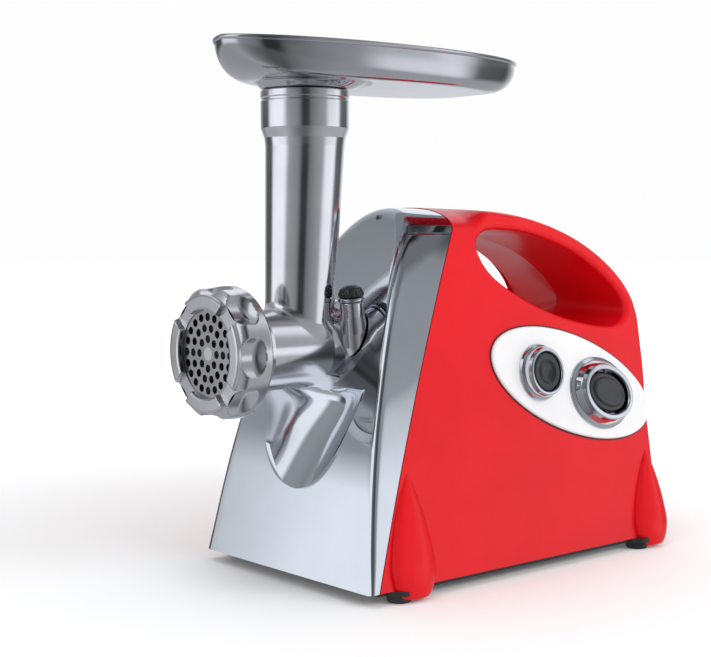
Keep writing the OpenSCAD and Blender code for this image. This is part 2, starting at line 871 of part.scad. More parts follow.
module stator_core() {
    color(black) difference() {
        intersection() {
            bar_y(0, motor_z, 42, 38, 72);
            translate([0, 55, motor_z]) cube([74, 60, 80], center = true);
        }
        bar_y(0, motor_z, 25.6, 0, 100);
        for (sx = [-1, 1]) translate([sx * 26, 55, motor_z]) cube([16, 60, 36], center = true);
    }
}

// Two field coils: their long sides lie in the stator's windows and the ends wrap round it.
module field_coils() {
    color(copper) for (sz = [-1, 1]) {
        for (sx = [-1, 1]) translate([sx * 30 - 3, 33, motor_z + (sz > 0 ? 2 : -16)]) cube([6, 39.3, 14]);
        for (y0 = [33, 72.3]) difference() {
            translate([-33, y0, motor_z + (sz > 0 ? 2 : -40)]) cube([66, 4.7 + (y0 > 50 ? 4 : 0), 38]);
            bar_y(0, motor_z, 26.6, 0, 120);
            if (y0 > 50) for (sx = [-1, 1]) translate([sx * 33 - 4, 0, motor_z - 7]) cube([8, 200, 14]);
        }
    }
}

module armature_core() {
    color(steel) difference() {
        bar_y(0, motor_z, 25, 38, 72);
        bar_y(0, motor_z, journal_r, 0, 120);
        for (k = [0 : 11]) translate([0, 0, motor_z]) rotate([0, 30 * k, 0])
            translate([19, 30, -1.6]) cube([9, 50, 3.2]);
    }
}

module armature_windings() {
    color(copper) {
        ring_y(0, motor_z, 21, journal_r, 32.5, 38);
        ring_y(0, motor_z, 21, journal_r, 72, 80);
    }
}

module commutator() {
    color(copper) difference() {
        bar_y(0, motor_z, 12, 82, 98);
        bar_y(0, motor_z, journal_r, 0, 120);
        for (k = [0 : 23]) translate([0, 0, motor_z]) rotate([0, 15 * k, 0])
            translate([10.5, 80, -0.3]) cube([4, 20, 0.6]);
    }
}

module brush_holders() {
    color("goldenrod") for (sx = [-1, 1]) difference() {
        translate([sx * 24 - 6, 84, motor_z - 5]) cube([12, 11, 10]);
        translate([sx * 24 - 9, 86, motor_z - 3]) cube([18, 7, 6]);
    }
}

module carbon_brushes() {
    color(black) for (sx = [-1, 1]) translate([sx * 19.2 - 6.9, 86, motor_z - 3]) cube([13.8, 7, 6]);
}

// ---- Electrics ----

board_y = 128;

module circuit_board() {
    color("seagreen") difference() {
        translate([-38, board_y, 20]) cube([76, 1.6, 62]);
        for (sx = [-1, 1], z = [25, 77]) bar_y(sx * 33, z, 1.6, board_y - 5, board_y + 5);
    }
}

module board_parts() {
    color(black) {
        translate([-28, board_y + 1.6, 50]) cube([26, 15, 20]);
        bar_y(14, 60, 8, board_y + 1.6, board_y + 20);
        translate([-6, board_y + 1.6, 28]) cube([34, 11, 14]);
    }
}

tray();
head_casting();
ring_nut();
cutting_plate();
knife();
auger();
auger_bush();
lock_knob();
lock_collar();
lock_screw();
front_cover();
outlet_socket();
left_shell();
right_shell();
base_plate();
rubber_feet();
control_panel();
reverse_bezel();
reverse_button();
reverse_switch();
power_bezel();
power_rocker();
rocker_pin();
power_switch();
cord_inlet();
gearbox_housing();
gearbox_cover();
output_bearing();
output_shaft();
output_gear();
second_gear();
first_gear();
motor_pinion();
motor_shaft();
motor_front_bracket();
motor_rear_bracket();
motor_bearings();
cooling_fan();
stator_core();
field_coils();
armature_core();
armature_windings();
commutator();
brush_holders();
carbon_brushes();
circuit_board();
board_parts();
housing_screws();
base_screws();
gearbox_screws();
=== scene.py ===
import math

import bmesh
import bpy
import numpy as np
from mathutils import Matrix, Vector


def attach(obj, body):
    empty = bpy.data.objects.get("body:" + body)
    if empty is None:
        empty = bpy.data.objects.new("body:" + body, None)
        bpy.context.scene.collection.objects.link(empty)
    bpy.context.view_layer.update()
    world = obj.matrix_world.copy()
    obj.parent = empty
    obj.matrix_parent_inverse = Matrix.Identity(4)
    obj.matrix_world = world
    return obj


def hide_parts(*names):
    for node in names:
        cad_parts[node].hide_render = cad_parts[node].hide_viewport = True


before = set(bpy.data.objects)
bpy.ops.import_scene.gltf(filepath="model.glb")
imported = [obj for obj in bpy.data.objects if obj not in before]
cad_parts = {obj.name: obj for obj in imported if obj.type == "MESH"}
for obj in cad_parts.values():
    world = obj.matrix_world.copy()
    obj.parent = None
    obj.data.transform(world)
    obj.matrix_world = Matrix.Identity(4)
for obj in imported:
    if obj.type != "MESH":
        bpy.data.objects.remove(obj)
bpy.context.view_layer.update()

# ---- Camera, floor and studio light ----
# The grinder stands on a pale floor that fades into a white studio by a painted glow, with two soft
# lamps.
# Plain surfaces are lit by an even dome. Polished metal mirrors a ring of bright wall panels with
# dark gaps between them, set by how far round and how high the mirrored ray points.

camera = bpy.data.objects.new("camera", bpy.data.cameras.new("camera"))
bpy.context.collection.objects.link(camera)
camera.location = (0.6999, -0.6476, 0.2213)
camera.rotation_mode = "QUATERNION"
camera.rotation_quaternion = Vector((-0.7586, 0.6479, -0.0698)).to_track_quat("-Z", "Y")
camera.data.sensor_width = 36
camera.data.lens = 72.42
camera.data.clip_start = 0.02
camera.data.clip_end = 30
bpy.context.scene.camera = camera
bpy.context.scene.view_settings.view_transform = "Standard"


def node_of(tree, kind, **inputs):
    """A shader node with the values or links given by socket name; spaces are written as _."""
    made = tree.nodes.new(kind)
    for socket, value in inputs.items():
        target = made.inputs[int(socket[1:])] if socket[0] == "n" and socket[1:].isdigit() else \
            made.inputs[socket.replace("_", " ")]
        if isinstance(value, bpy.types.NodeSocket):
            tree.links.new(value, target)
        else:
            target.default_value = value
    return made


def math_of(tree, operation, *values):
    made = node_of(tree, "ShaderNodeMath", **{f"n{i}": v for i, v in enumerate(values)})
    made.operation = operation
    return made.outputs[0]


def ramp_of(tree, factor, stops):
    """Grey levels along a ramp, given as (place, level) pairs."""
    made = node_of(tree, "ShaderNodeValToRGB", Fac=factor)
    keys = made.color_ramp.elements
    while len(keys) < len(stops):
        keys.new(0.5)
    for key, (place, level) in zip(keys, stops):
        key.position = place
        key.color = (level, level, level, 1)
    return made.outputs[0]


studio = bpy.data.worlds.new("studio")
bpy.context.scene.world = studio
studio.use_nodes = True
sky = studio.node_tree
sky.nodes.clear()
FRONT_X, FRONT_Y = 0.7604, -0.6494
ray = node_of(sky, "ShaderNodeSeparateXYZ", Vector=node_of(sky,
    "ShaderNodeTexCoord").outputs["Generated"])
towards = math_of(sky, "ADD", math_of(sky, "MULTIPLY", ray.outputs[0], FRONT_X),
                  math_of(sky, "MULTIPLY", ray.outputs[1], FRONT_Y))
across = math_of(sky, "ADD", math_of(sky, "MULTIPLY", ray.outputs[0], -FRONT_Y),
                 math_of(sky, "MULTIPLY", ray.outputs[1], FRONT_X))
round_about = math_of(sky, "MULTIPLY_ADD", math_of(sky, "ARCTAN2", across, towards), 1 / math.tau, 0.5)


def wall_of(*stops):
    """Brightness around the studio, as (degrees from the front, level) pairs; minus is to the left."""
    return ramp_of(sky, round_about, [((turn + 180) / 360, level) for turn, level in stops])


def tier_of(low, high):
    """0 under the lower height, 1 over the higher, as sines of the angle above the horizon."""
    return node_of(sky, "ShaderNodeMapRange", Value=ray.outputs[2], From_Min=low,
        From_Max=high).outputs["Result"]


def blended(share, under, over):
    made = node_of(sky, "ShaderNodeMix", n0=share, n6=under, n7=over)
    made.data_type = "RGBA"
    return made.outputs[2]


floor_bounce = wall_of((-180, 0.5), (-100, 0.45), (-60, 0.5), (-30, 0.26), (-6, 0.13), (8, 0.13),
    (30, 0.3), (60, 0.45), (100, 0.5), (180, 0.5))
eye_level = wall_of((-180, 0.8), (-135, 0.1), (-110, 0.1), (-99, 1.1), (-58, 1.1), (-46, 0.4),
    (-14, 0.28), (-3, 0.04), (11, 0.04),
                    (18, 0.2), (56, 0.4), (68, 1.0), (97, 1.1), (108, 0.15), (135, 0.1), (155, 0.8), (180,
                        0.8))
above_eye = wall_of((-180, 0.7), (-128, 0.3), (-108, 0.37), (-92, 0.37), (-84, 1.1), (-50, 1.1),
    (-43, 0.25), (0, 0.05), (25, 0.16),
                    (40, 0.34), (84, 0.4), (91, 0.95), (103, 0.95), (112, 0.25), (138, 0.25), (150,
                        1.1), (180, 1.1))
under_roof = wall_of((-180, 0.5), (-120, 0.5), (-60, 0.6), (-20, 0.3), (20, 0.2), (90, 0.22), (150, 0.3),
    (180, 0.5))
walls = blended(tier_of(-0.24, -0.1), floor_bounce, eye_level)
walls = blended(tier_of(0.07, 0.15), walls, above_eye)
walls = blended(tier_of(0.74, 0.84), walls, under_roof)
walls = blended(tier_of(0.955, 0.975), walls, (0.02, 0.02, 0.02, 1))
cool = node_of(sky, "ShaderNodeMix", n0=1.0, n6=walls, n7=(0.95, 0.98, 1.04, 1))
cool.data_type, cool.blend_type = "RGBA", "MULTIPLY"
path = node_of(sky, "ShaderNodeLightPath")
dome = blended(tier_of(0.2, 0.95), (1.12, 1.12, 1.13, 1), (0.42, 0.42, 0.43, 1))
lit = blended(path.outputs["Is Diffuse Ray"], cool.outputs[2], dome)
seen = blended(path.outputs["Is Camera Ray"], lit, (0.99, 0.99, 0.99, 1))
glow = node_of(sky, "ShaderNodeBackground", Color=seen, Strength=1.0)
sky.links.new(glow.outputs[0], node_of(sky, "ShaderNodeOutputWorld").inputs["Surface"])


def softbox(name, place, aim, size, power):
    lamp = bpy.data.lights.new(name, "AREA")
    lamp.shape, lamp.size, lamp.energy = "DISK", size, power
    holder = bpy.data.objects.new(name, lamp)
    holder.location = place
    holder.rotation_euler = (Vector(aim) - Vector(place)).to_track_quat("-Z", "Y").to_euler()
    holder.visible_camera = False
    holder.visible_glossy = False
    bpy.context.collection.objects.link(holder)


softbox("side_softbox", (1.3, 0.3, 0.9), (0.05, 0.05, 0.13), 0.8, 9)
softbox("top_softbox", (0.1, -0.4, 1.5), (0, 0, 0.15), 0.8, 4)

floor_mesh = bpy.data.meshes.new("floor")
FLOOR_R, FLOOR_SIDES = 9, 64
turns = [k * math.tau / FLOOR_SIDES for k in range(FLOOR_SIDES)]
floor_rim = [(FLOOR_R * math.cos(a), FLOOR_R * math.sin(a), 0) for a in turns]
floor_mesh.from_pydata(floor_rim, [], [tuple(range(FLOOR_SIDES))])
floor = bpy.data.objects.new("floor", floor_mesh)
bpy.context.collection.objects.link(floor)
floor_paint = bpy.data.materials.new("pale_floor")
floor_paint.use_nodes = True
tree = floor_paint.node_tree
shader = tree.nodes["Principled BSDF"]
speckle = node_of(tree, "ShaderNodeTexNoise", Scale=40.0, Detail=3.0)
tint = node_of(tree, "ShaderNodeMix", n0=speckle.outputs["Fac"], n6=(0.9, 0.9, 0.9, 1),
    n7=(0.94, 0.94, 0.94, 1))
tint.data_type = "RGBA"
tree.links.new(tint.outputs[2], shader.inputs["Base Color"])
# Painted light: the floor glows, not at all at the middle and fully from 0.9 m out, so it blends into the
# white studio.
away = node_of(tree, "ShaderNodeVectorMath", n0=node_of(tree, "ShaderNodeTexCoord").outputs["Object"])
away.operation = "LENGTH"
painted_floor_glow = node_of(tree, "ShaderNodeMapRange", Value=away.outputs["Value"], From_Min=0.0, From_Max=0.9)
tree.links.new(painted_floor_glow.outputs["Result"], shader.inputs["Emission Color"])
shader.inputs["Emission Strength"].default_value = 0.5
shader.inputs["Roughness"].default_value = 0.7
shader.inputs["Specular IOR Level"].default_value = 0.1
floor_mesh.materials.append(floor_paint)
floor.visible_glossy = False

# ---- Red housing shells ----
# Two moulded halves in glossy red, screwed together along the middle from the left side.
# They carry the hand slot, whose rim swells into a rounded bead, and the rear air vents.

MM = 0.001
LEAN_DEG, FOOT_HALF = 9.3, 84
SIDE_LEAN = math.tan(math.radians(LEAN_DEG))
BASE_Z, REAR_Y, ROOF_Z, SHOULDER_Z, SHELL_WALL = 8, 167.4, 235, 218, 2.5
SEAM_FOOT_Y, SEAM_SLOPE, SEAM_BOW = -106, 0.37, 0.00027
REAR_TOP_Z, ROOF_RISE, ROOF_POWER = 155, 80, 2.1


def half_width(z):
    return FOOT_HALF - (z - BASE_Z) * SIDE_LEAN


def seam_y(z):
    return SEAM_FOOT_Y + SEAM_SLOPE * z + SEAM_BOW * z * z


def roof_z(y):
    return ROOF_Z if y <= 0 else REAR_TOP_Z + ROOF_RISE * max(0, 1 - (y / REAR_Y) ** ROOF_POWER) ** 0.545


def eased(value, low, high):
    """0 below low, 1 above high, and a smooth rise between."""
    t = min(1, max(0, (value - low) / (high - low)))
    return t * t * (3 - 2 * t)


def skin(rings, around=True, back_to_start=False):
    """Quads between rows of points."""
    rows, cols = len(rings), len(rings[0])
    faces = []
    for i in range(rows if back_to_start else rows - 1):
        for j in range(cols if around else cols - 1):
            k, m = (i + 1) % rows, (j + 1) % cols
            faces.append((i * cols + j, i * cols + m, k * cols + m, k * cols + j))
    return [tuple(p) for ring in rings for p in ring], faces


def joined(*skins):
    points, faces = [], []
    for more, quads in skins:
        faces += [tuple(i + len(points) for i in q) for q in quads]
        points += more
    return points, faces


def mirrored(body):
    points, faces = body
    return [(-x, y, z) for x, y, z in points], faces


def mesh_of(name, body, weld=0.02):
    """A linked mesh object from points in millimetres, welded, with its faces turned outwards."""
    points, faces = body
    data = bpy.data.meshes.new(name)
    data.from_pydata([(x * MM, y * MM, z * MM) for x, y, z in points], [], faces)
    made = bpy.data.objects.new(name, data)
    bpy.context.collection.objects.link(made)
    work = bmesh.new()
    work.from_mesh(data)
    bmesh.ops.remove_doubles(work, verts=work.verts, dist=weld * MM)
    bmesh.ops.dissolve_degenerate(work, edges=work.edges, dist=0.5 * weld * MM)
    bmesh.ops.recalc_face_normals(work, faces=work.faces)
    work.to_mesh(data)
    work.free()
    return made


def settle(piece):
    """Applies the piece's modifiers to its mesh."""
    bpy.context.view_layer.update()
    done = bpy.data.meshes.new_from_object(piece.evaluated_get(bpy.context.evaluated_depsgraph_get()))
    piece.modifiers.clear()
    piece.data = done
    return piece


def hollowed(piece, thickness):
    """Gives an open skin its wall, inwards from the outer face."""
    wall = piece.modifiers.new("wall", "SOLIDIFY")
    wall.thickness = thickness * MM
    wall.offset = -1
    return settle(piece)


def cut_by(piece, cutter_body):
    """Takes a closed body away from the piece."""
    cutter = mesh_of("cutter", cutter_body)
    cut = piece.modifiers.new("cut", "BOOLEAN")
    cut.operation, cut.solver, cut.object = "DIFFERENCE", "EXACT", cutter
    settle(piece)
    bpy.data.objects.remove(cutter)
    return piece


def smoothed(piece, sharp=38):
    """Smooth shading that stays crisp where faces meet at more than this angle."""
    piece.data.shade_smooth()
    piece.data.set_sharp_from_angle(angle=math.radians(sharp))
    weigh = piece.modifiers.new("flats", "WEIGHTED_NORMAL")
    weigh.keep_sharp = True
    return piece


def box_body(x0, x1, y0, y1, z0, z1):
    ring = [(x0, y0), (x1, y0), (x1, y1), (x0, y1)]
    return [(x, y, z0) for x, y in ring] + [(x, y, z1) for x, y in ring], \
        [(0, 1, 2, 3), (4, 5, 6, 7), (0, 1, 5, 4), (1, 2, 6, 5), (2, 3, 7, 6), (3, 0, 4, 7)]


def bar_body(place, radius, low, high, sides=48):
    """A closed round bar along the local z of a placement in millimetres."""
    rings = [[place @ Vector((radius * math.cos(a), radius * math.sin(a), h))
              for a in (math.tau * k / sides for k in range(sides))] for h in (low, high)]
    points, faces = skin(rings)
    return points, faces + [tuple(range(sides)), tuple(range(sides, 2 * sides))]


def facing_x(y, z):
    """Places local z along +X."""
    return Matrix.Translation((0, y, z)) @ Matrix.Rotation(math.pi / 2, 4, "Y")


def facing_y(x, z):
    """Places local z along +Y."""
    return Matrix.Translation((x, 0, z)) @ Matrix.Rotation(-math.pi / 2, 4, "X")


def even_loop(corners, count):
    """Evenly spaced points on a smooth closed curve through the corners."""
    p = np.array(corners, float)
    n, fine = len(p), []
    for i in range(n):
        a, b, c, d = p[i - 1], p[i], p[(i + 1) % n], p[(i + 2) % n]
        for t in np.linspace(0, 1, 40, endpoint=False):
            fine.append(0.5 * (2 * b + (c - a) * t + (2 * a - 5 * b + 4 * c - d) * t * t
                               + (3 * b - a - 3 * c + d) * t ** 3))
    fine = np.array(fine + [fine[0]])
    run = np.concatenate([[0], np.cumsum(np.linalg.norm(np.diff(fine, axis=0), axis=1))])
    at = np.linspace(0, run[-1], count, endpoint=False)
    return np.stack([np.interp(at, run, fine[:, k]) for k in (0, 1)], 1)


def outward(loop):
    """Unit normals of a closed clockwise loop."""
    t = np.roll(loop, -1, 0) - np.roll(loop, 1, 0)
    n = np.stack([-t[:, 1], t[:, 0]], 1)
    return n / np.linalg.norm(n, axis=1)[:, None]


SLOT = [(11, 209), (20, 219), (40, 220), (66, 217), (104, 205), (138, 184), (151, 166), (138, 154),
        (100, 158), (58, 171), (23, 190)]
LEFT_SLOT = [(11, 208), (20, 219), (42, 221), (70, 218), (110, 205), (146, 184), (159, 162), (147, 145),
             (102, 149), (56, 165), (22, 187)]
SLOT_MIDDLE = np.array((80, 190))
SHELL_GAP, PARTING, THROAT_SHARE, NOSE_Y = 0.6, 0.15, 0.9, -11.9
LOOP_POINTS, BORDER_POINTS = 288, 90
ROOF_STEPS, ROOF_SPANS = 8, 9


def side_border():
    """Points round the side with their outward normal and the inset of the rounded edge there."""
    border = [(seam_y(z) + SHELL_GAP, z, 0, 0, 0) for z in np.linspace(BASE_Z, SHOULDER_Z - 1,
        BORDER_POINTS)]
    roof_run = list(np.linspace(NOSE_Y, 0, 12, endpoint=False))
    roof_run += [REAR_Y * math.sin(a) for a in np.linspace(0, math.pi / 2, 120)]
    edge = np.array([(y, roof_z(y)) for y in roof_run] + [(REAR_Y, z) for z in np.linspace(REAR_TOP_Z - 1,
        BASE_Z, BORDER_POINTS)])
    along = np.gradient(edge, axis=0)
    along /= np.linalg.norm(along, axis=1)[:, None]
    slot = even_loop(SLOT, LOOP_POINTS)
    for (y, z), (ty, tz) in zip(edge, along):
        room = np.min(np.linalg.norm(slot - (y, z), axis=1))
        inset = (17 - 9.5 * eased(y, 2, 26)) if y < 100 else 7.5 + 2.5 * eased(-z, -130, -90)
        border.append((y, z, -tz, ty, min(inset, (0.52 + 0.3 * (1 - eased(y, 8, 30))) * room)))
    border += [(y, BASE_Z, 0, 0, 0) for y in np.linspace(REAR_Y - 10, seam_y(BASE_Z) + SHELL_GAP,
        BORDER_POINTS)[1:-1]]
    return np.array(border), (0, BORDER_POINTS, BORDER_POINTS + len(edge) - 1)


def roof_section(x_side, inset, nose):
    """(out from the inner edge, x) over the rounded edge to the middle; nose 1 is a plain arch."""
    radius = min(6.5, 0.8 * inset)
    slope = 0.0
    for _ in range(6):
        turned_by = math.pi / 2 - slope
        x_top = x_side - radius * (1 - math.cos(turned_by))
        rise = inset - radius * math.sin(turned_by)
        slope = math.atan2(2 * rise, x_top)
    arc = [(radius * math.sin(turned_by * k / ROOF_STEPS),
        x_side - radius * (1 - math.cos(turned_by * k / ROOF_STEPS)))
           for k in range(ROOF_STEPS + 1)]
    crown = [(inset - rise * (x / x_top) ** 2, x) for x in np.linspace(x_top, PARTING,
        ROOF_SPANS + 1)[1:]]
    sweep = list(np.linspace(0, 0.7, ROOF_STEPS + 1)) + list(np.linspace(0.7, math.acos(PARTING / x_side),
        ROOF_SPANS + 1)[1:])
    arch = [(inset * math.sin(a), x_side * math.cos(a)) for a in sweep]
    return [(o * (1 - nose) + p * nose, x * (1 - nose) + q * nose) for (o, x),
        (p, q) in zip(arc + crown, arch)]


def shell_skin(slot_corners):
    """One half of the housing: the slot's tunnel, its bead, the flat side and the roof."""
    border, corners = side_border()
    inner_edge = border[:, :2] - border[:, 2:4] * border[:, 4:5]
    rim = even_loop(slot_corners, LOOP_POINTS)
    out_of_slot = outward(rim)
    throat = SLOT_MIDDLE + (even_loop(SLOT, LOOP_POINTS) - SLOT_MIDDLE) * THROAT_SHARE
    bead = np.array([min(5.2, 0.4 * np.min(np.linalg.norm(border[:, :2] - p, axis=1))) for p in rim])
    bead = np.where(out_of_slot[:, 1] < 0, np.maximum(bead * (1 + 0.45 * out_of_slot[:, 1]), 2.2), bead)
    bead = np.convolve(np.concatenate([bead[-8:], bead, bead[:8]]), np.ones(17) / 17, "valid")
    swell = rim + out_of_slot * bead[:, None]
    look = np.unwrap(np.arctan2(swell[:, 1] - SLOT_MIDDLE[1], swell[:, 0] - SLOT_MIDDLE[0]))
    bearing = np.unwrap(np.arctan2(inner_edge[:, 1] - SLOT_MIDDLE[1], inner_edge[:, 0] - SLOT_MIDDLE[0]))
    lap = math.tau * np.sign(bearing[-1] - bearing[0])
    bearings = np.concatenate([bearing - lap, bearing, bearing + lap])
    places = np.concatenate([np.arange(len(border)) + k * len(border) for k in (-1, 0, 1)])
    order = np.argsort(bearings)
    partner = np.interp(look, bearings[order], places[order])
    for corner in corners:
        off = (partner - corner + len(border) / 2) % len(border) - len(border) / 2
        partner[np.argmin(np.abs(off))] = corner
    partner %= len(border)
    low = np.floor(partner).astype(int) % len(border)
    part = (partner - np.floor(partner))[:, None]
    goal = border[low] * (1 - part) + border[(low + 1) % len(border)] * part
    goal_inner = inner_edge[low] * (1 - part) + inner_edge[(low + 1) % len(border)] * part

    rows = []
    for f in np.linspace(0, 1, 16):
        share = 1 - (1 - f) ** 1.7
        rows.append([(PARTING + f * (half_width(rz) - r - PARTING), ty * (1 - share) + ry * share,
            tz * (1 - share) + rz * share)
                     for (ty, tz), (ry, rz), r in zip(throat, rim, bead)])
    for phi in np.linspace(0, math.pi / 2, 9)[1:]:
        ring = []
        for (y, z), (ny, nz), r in zip(rim, out_of_slot, bead):
            out = r * (1 - math.cos(phi))
            ring.append((half_width(z + nz * out) - r * (1 - math.sin(phi)), y + ny * out, z + nz * out))
        rows.append(ring)
    for v in np.linspace(0, 1, 25)[1:]:
        share = v ** 1.3
        rows.append([(half_width(z), y, z) for y, z in swell * (1 - share) + goal_inner * share])

    roof_rows = []
    rounded = np.where(goal[:, 4] > 0.5)[0]
    from_nose = np.abs(goal_inner[rounded][:, 0] - NOSE_Y) + np.abs(goal_inner[rounded][:,
        1] - SHOULDER_Z)
    k = rounded[np.argmin(from_nose)]
    step = 1 if (k + 1) % len(goal) in rounded else -1
    while k in rounded and len(roof_rows) <= len(goal):
        y, z, ny, nz, inset = goal[k]
        iy, iz = goal_inner[k]
        lean = 1 - eased(iy, NOSE_Y, 12)
        roof_rows.append([(x, iy + ny * out + (seam_y(iz + nz * out) - seam_y(iz)) * lean, iz + nz * out)
                          for out, x in roof_section(half_width(iz), inset, 1 - eased(iy, 2, 24))])
        k = (k + step) % len(goal)
    return joined(skin(rows), skin(roof_rows, around=False))


VENTS = [box_body(14, 52, REAR_Y - 12, REAR_Y + 8, 62 + 9 * i, 66 + 9 * i) for i in range(6)]
BOSSES = [(150, 36), (152, 132), (32, 166), (-62, 30), (-3, 203)]
PANEL_Y, PANEL_Z, PANEL_TILT = 86, 117, math.radians(19)
on_panel = (Matrix.Translation((half_width(PANEL_Z), PANEL_Y, PANEL_Z))
            @ Matrix.Rotation(math.radians(90 - LEAN_DEG), 4, "Y") @ Matrix.Rotation(-PANEL_TILT, 4, "Z"))


def in_group(name, inputs, outputs):
    """An empty shader node group with named number inputs and outputs."""
    group = bpy.data.node_groups.new(name, "ShaderNodeTree")
    for label, value in inputs:
        socket = group.interface.new_socket(label, in_out="INPUT", socket_type="NodeSocketFloat")
        socket.default_value = value
    for label in outputs:
        group.interface.new_socket(label, in_out="OUTPUT", socket_type="NodeSocketFloat")
    return group, group.nodes.new("NodeGroupInput"), group.nodes.new("NodeGroupOutput")


# Hand smudges: broad soft patches that vary both colour and gloss.
smudges, given, result = in_group("smudges", [("Patch", 30.0)], ["Mask"])
where = node_of(smudges, "ShaderNodeTexCoord").outputs["Object"]
broad = node_of(smudges, "ShaderNodeTexNoise", Vector=where, Scale=given.outputs["Patch"], Detail=4.0,
                Roughness=0.6)
spread = node_of(smudges, "ShaderNodeMapRange", Value=broad.outputs["Fac"], From_Min=0.35, From_Max=0.7)
smudges.links.new(spread.outputs["Result"], result.inputs["Mask"])

# Surface grain: the fine height of a moulding, casting or polished skin, with faint scratches.
grain, given, result = in_group("grain", [("Size", 900.0), ("Scratches", 0.3)], ["Height"])
where = node_of(grain, "ShaderNodeTexCoord").outputs["Object"]
pits = node_of(grain, "ShaderNodeTexNoise", Vector=where, Scale=given.outputs["Size"], Detail=3.0)
drawn = node_of(grain, "ShaderNodeMapping", Vector=where, Scale=(90.0, 90.0, 2500.0))
lines = node_of(grain, "ShaderNodeTexNoise", Vector=drawn.outputs["Vector"], Scale=1.0, Detail=2.0)
summed = math_of(grain, "MULTIPLY_ADD", lines.outputs["Fac"], given.outputs["Scratches"],
    pits.outputs["Fac"])
grain.links.new(summed, result.inputs["Height"])


def finish_of(name, dark, light, metallic, smooth, dull, patch=30.0, size=900.0, depth=0.02,
    scratches=0.3,
              coat=0.0, coat_roughness=0.05, specular=0.5, pattern=None):
    """A surface whose colour and gloss vary with smudges, over a fine grain. depth is in mm."""
    material = bpy.data.materials.new(name)
    material.use_nodes = True
    tree = material.node_tree
    shader = tree.nodes["Principled BSDF"]
    shader.inputs["Metallic"].default_value = metallic
    shader.inputs["Coat Weight"].default_value = coat
    shader.inputs["Coat Roughness"].default_value = coat_roughness
    shader.inputs["Specular IOR Level"].default_value = specular
    marks = tree.nodes.new("ShaderNodeGroup")
    marks.node_tree = smudges
    marks.inputs["Patch"].default_value = patch
    fibre = tree.nodes.new("ShaderNodeGroup")
    fibre.node_tree = grain
    fibre.inputs["Size"].default_value = size
    fibre.inputs["Scratches"].default_value = scratches
    mask = pattern(tree) if pattern else marks.outputs["Mask"]
    colour = node_of(tree, "ShaderNodeMix", n0=mask, n6=(*dark, 1), n7=(*light, 1))
    colour.data_type = "RGBA"
    tree.links.new(colour.outputs[2], shader.inputs["Base Color"])
    gloss = node_of(tree, "ShaderNodeMapRange", Value=marks.outputs["Mask"], To_Min=smooth, To_Max=dull)
    tree.links.new(gloss.outputs["Result"], shader.inputs["Roughness"])
    bump = node_of(tree, "ShaderNodeBump", Strength=1.0, Distance=depth * MM,
        Height=fibre.outputs["Height"])
    tree.links.new(bump.outputs["Normal"], shader.inputs["Normal"])
    return material


def dress(piece, material, body, slot, *stands_for):
    """Finish, body and the CAD nodes a piece stands for; slot is not used."""
    piece.data.materials.clear()
    piece.data.materials.append(material)
    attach(piece, body)
    if stands_for:
        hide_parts(*stands_for)
    return piece


red_gloss = finish_of("red_gloss", (0.58, 0.002, 0.006), (0.66, 0.003, 0.009), 0.0, 0.3, 0.36, patch=14.0,
                      size=2600.0, depth=0.004, scratches=0.1, coat=0.2, coat_roughness=0.12,
                      specular=0.2)

right_shell = hollowed(mesh_of("right_shell_skin", shell_skin(SLOT), 0.05), SHELL_WALL)
cut_by(right_shell, joined(*VENTS, bar_body(on_panel @ Matrix.Diagonal((27, 70, 1, 1)), 1, -12, 6)))
dress(smoothed(right_shell, 32), red_gloss, "housing", "red_plastic", "right_shell")

left_shell = hollowed(mesh_of("left_shell_skin", mirrored(shell_skin(LEFT_SLOT)), 0.05), SHELL_WALL)
cut_by(left_shell, joined(*[mirrored(v) for v in VENTS],
    *[bar_body(facing_x(*b), 3.8, -110, -25) for b in BOSSES],
                          bar_body(facing_y(-30, 34), 8, REAR_Y - 8, REAR_Y + 8)))
dress(smoothed(left_shell, 32), red_gloss, "housing", "red_plastic", "left_shell")

# ---- Leg fairings ----
# Four swollen lumps moulded on the shells above the feet, each running up to a blunt point.
# They are widest a little above the ground and fade back into the leaning side at the top.


def fairing_body(y_low, y_high, top_z, half_length, bulge):
    rings = []
    for h in np.concatenate([[0, 0.01, 0.025], np.linspace(0.05, 1, 27)]):
        z = FAIRING_Z + (top_z - FAIRING_Z) * h
        tuck = 1 - 0.34 * (1 - min(1, h / 0.3)) ** 2 - 0.05 * (1 - eased(h, 0, 0.03))
        wide = half_length * max(0.012, 1 - h ** 1.9) ** 0.85 * tuck
        proud = bulge * max(0, 1 - h ** 1.7) ** 0.85 * tuck
        middle = y_low + (y_high - y_low) * h ** 1.2
        ring = [(half_width(z) - 6, middle + wide, z)]
        for phi in np.linspace(math.pi / 2, -math.pi / 2, 25):
            ring.append((half_width(z) - 1.2 + (proud + 1.2) * math.cos(phi) ** 0.85,
                middle + wide * math.sin(phi), z))
        ring.append((half_width(z) - 6, middle - wide, z))
        rings.append(ring)
    points, faces = skin(rings)
    cols = len(rings[0])
    return points, faces + [tuple(range(cols)), tuple(range(len(points) - cols, len(points)))]


FAIRING_Z = 2.6
front_fairing, rear_fairing = fairing_body(-76, -72, 75, 18.6, 9.4), fairing_body(149, 154, 67, 17.4, 9.4)
for where_on, body in (("front", front_fairing), ("rear", rear_fairing)):
    dress(smoothed(mesh_of(f"right_{where_on}_fairing", body), 50), red_gloss, "housing", "red_plastic")
    dress(smoothed(mesh_of(f"left_{where_on}_fairing", mirrored(body)), 50), red_gloss, "housing",
        "red_plastic")

# ---- Chrome front cover ----
# A plated moulding: an arched face that leans back, a side band to the red seam, and a hollow
# scooped out under the barrel, with a round opening for the collar that holds the head.

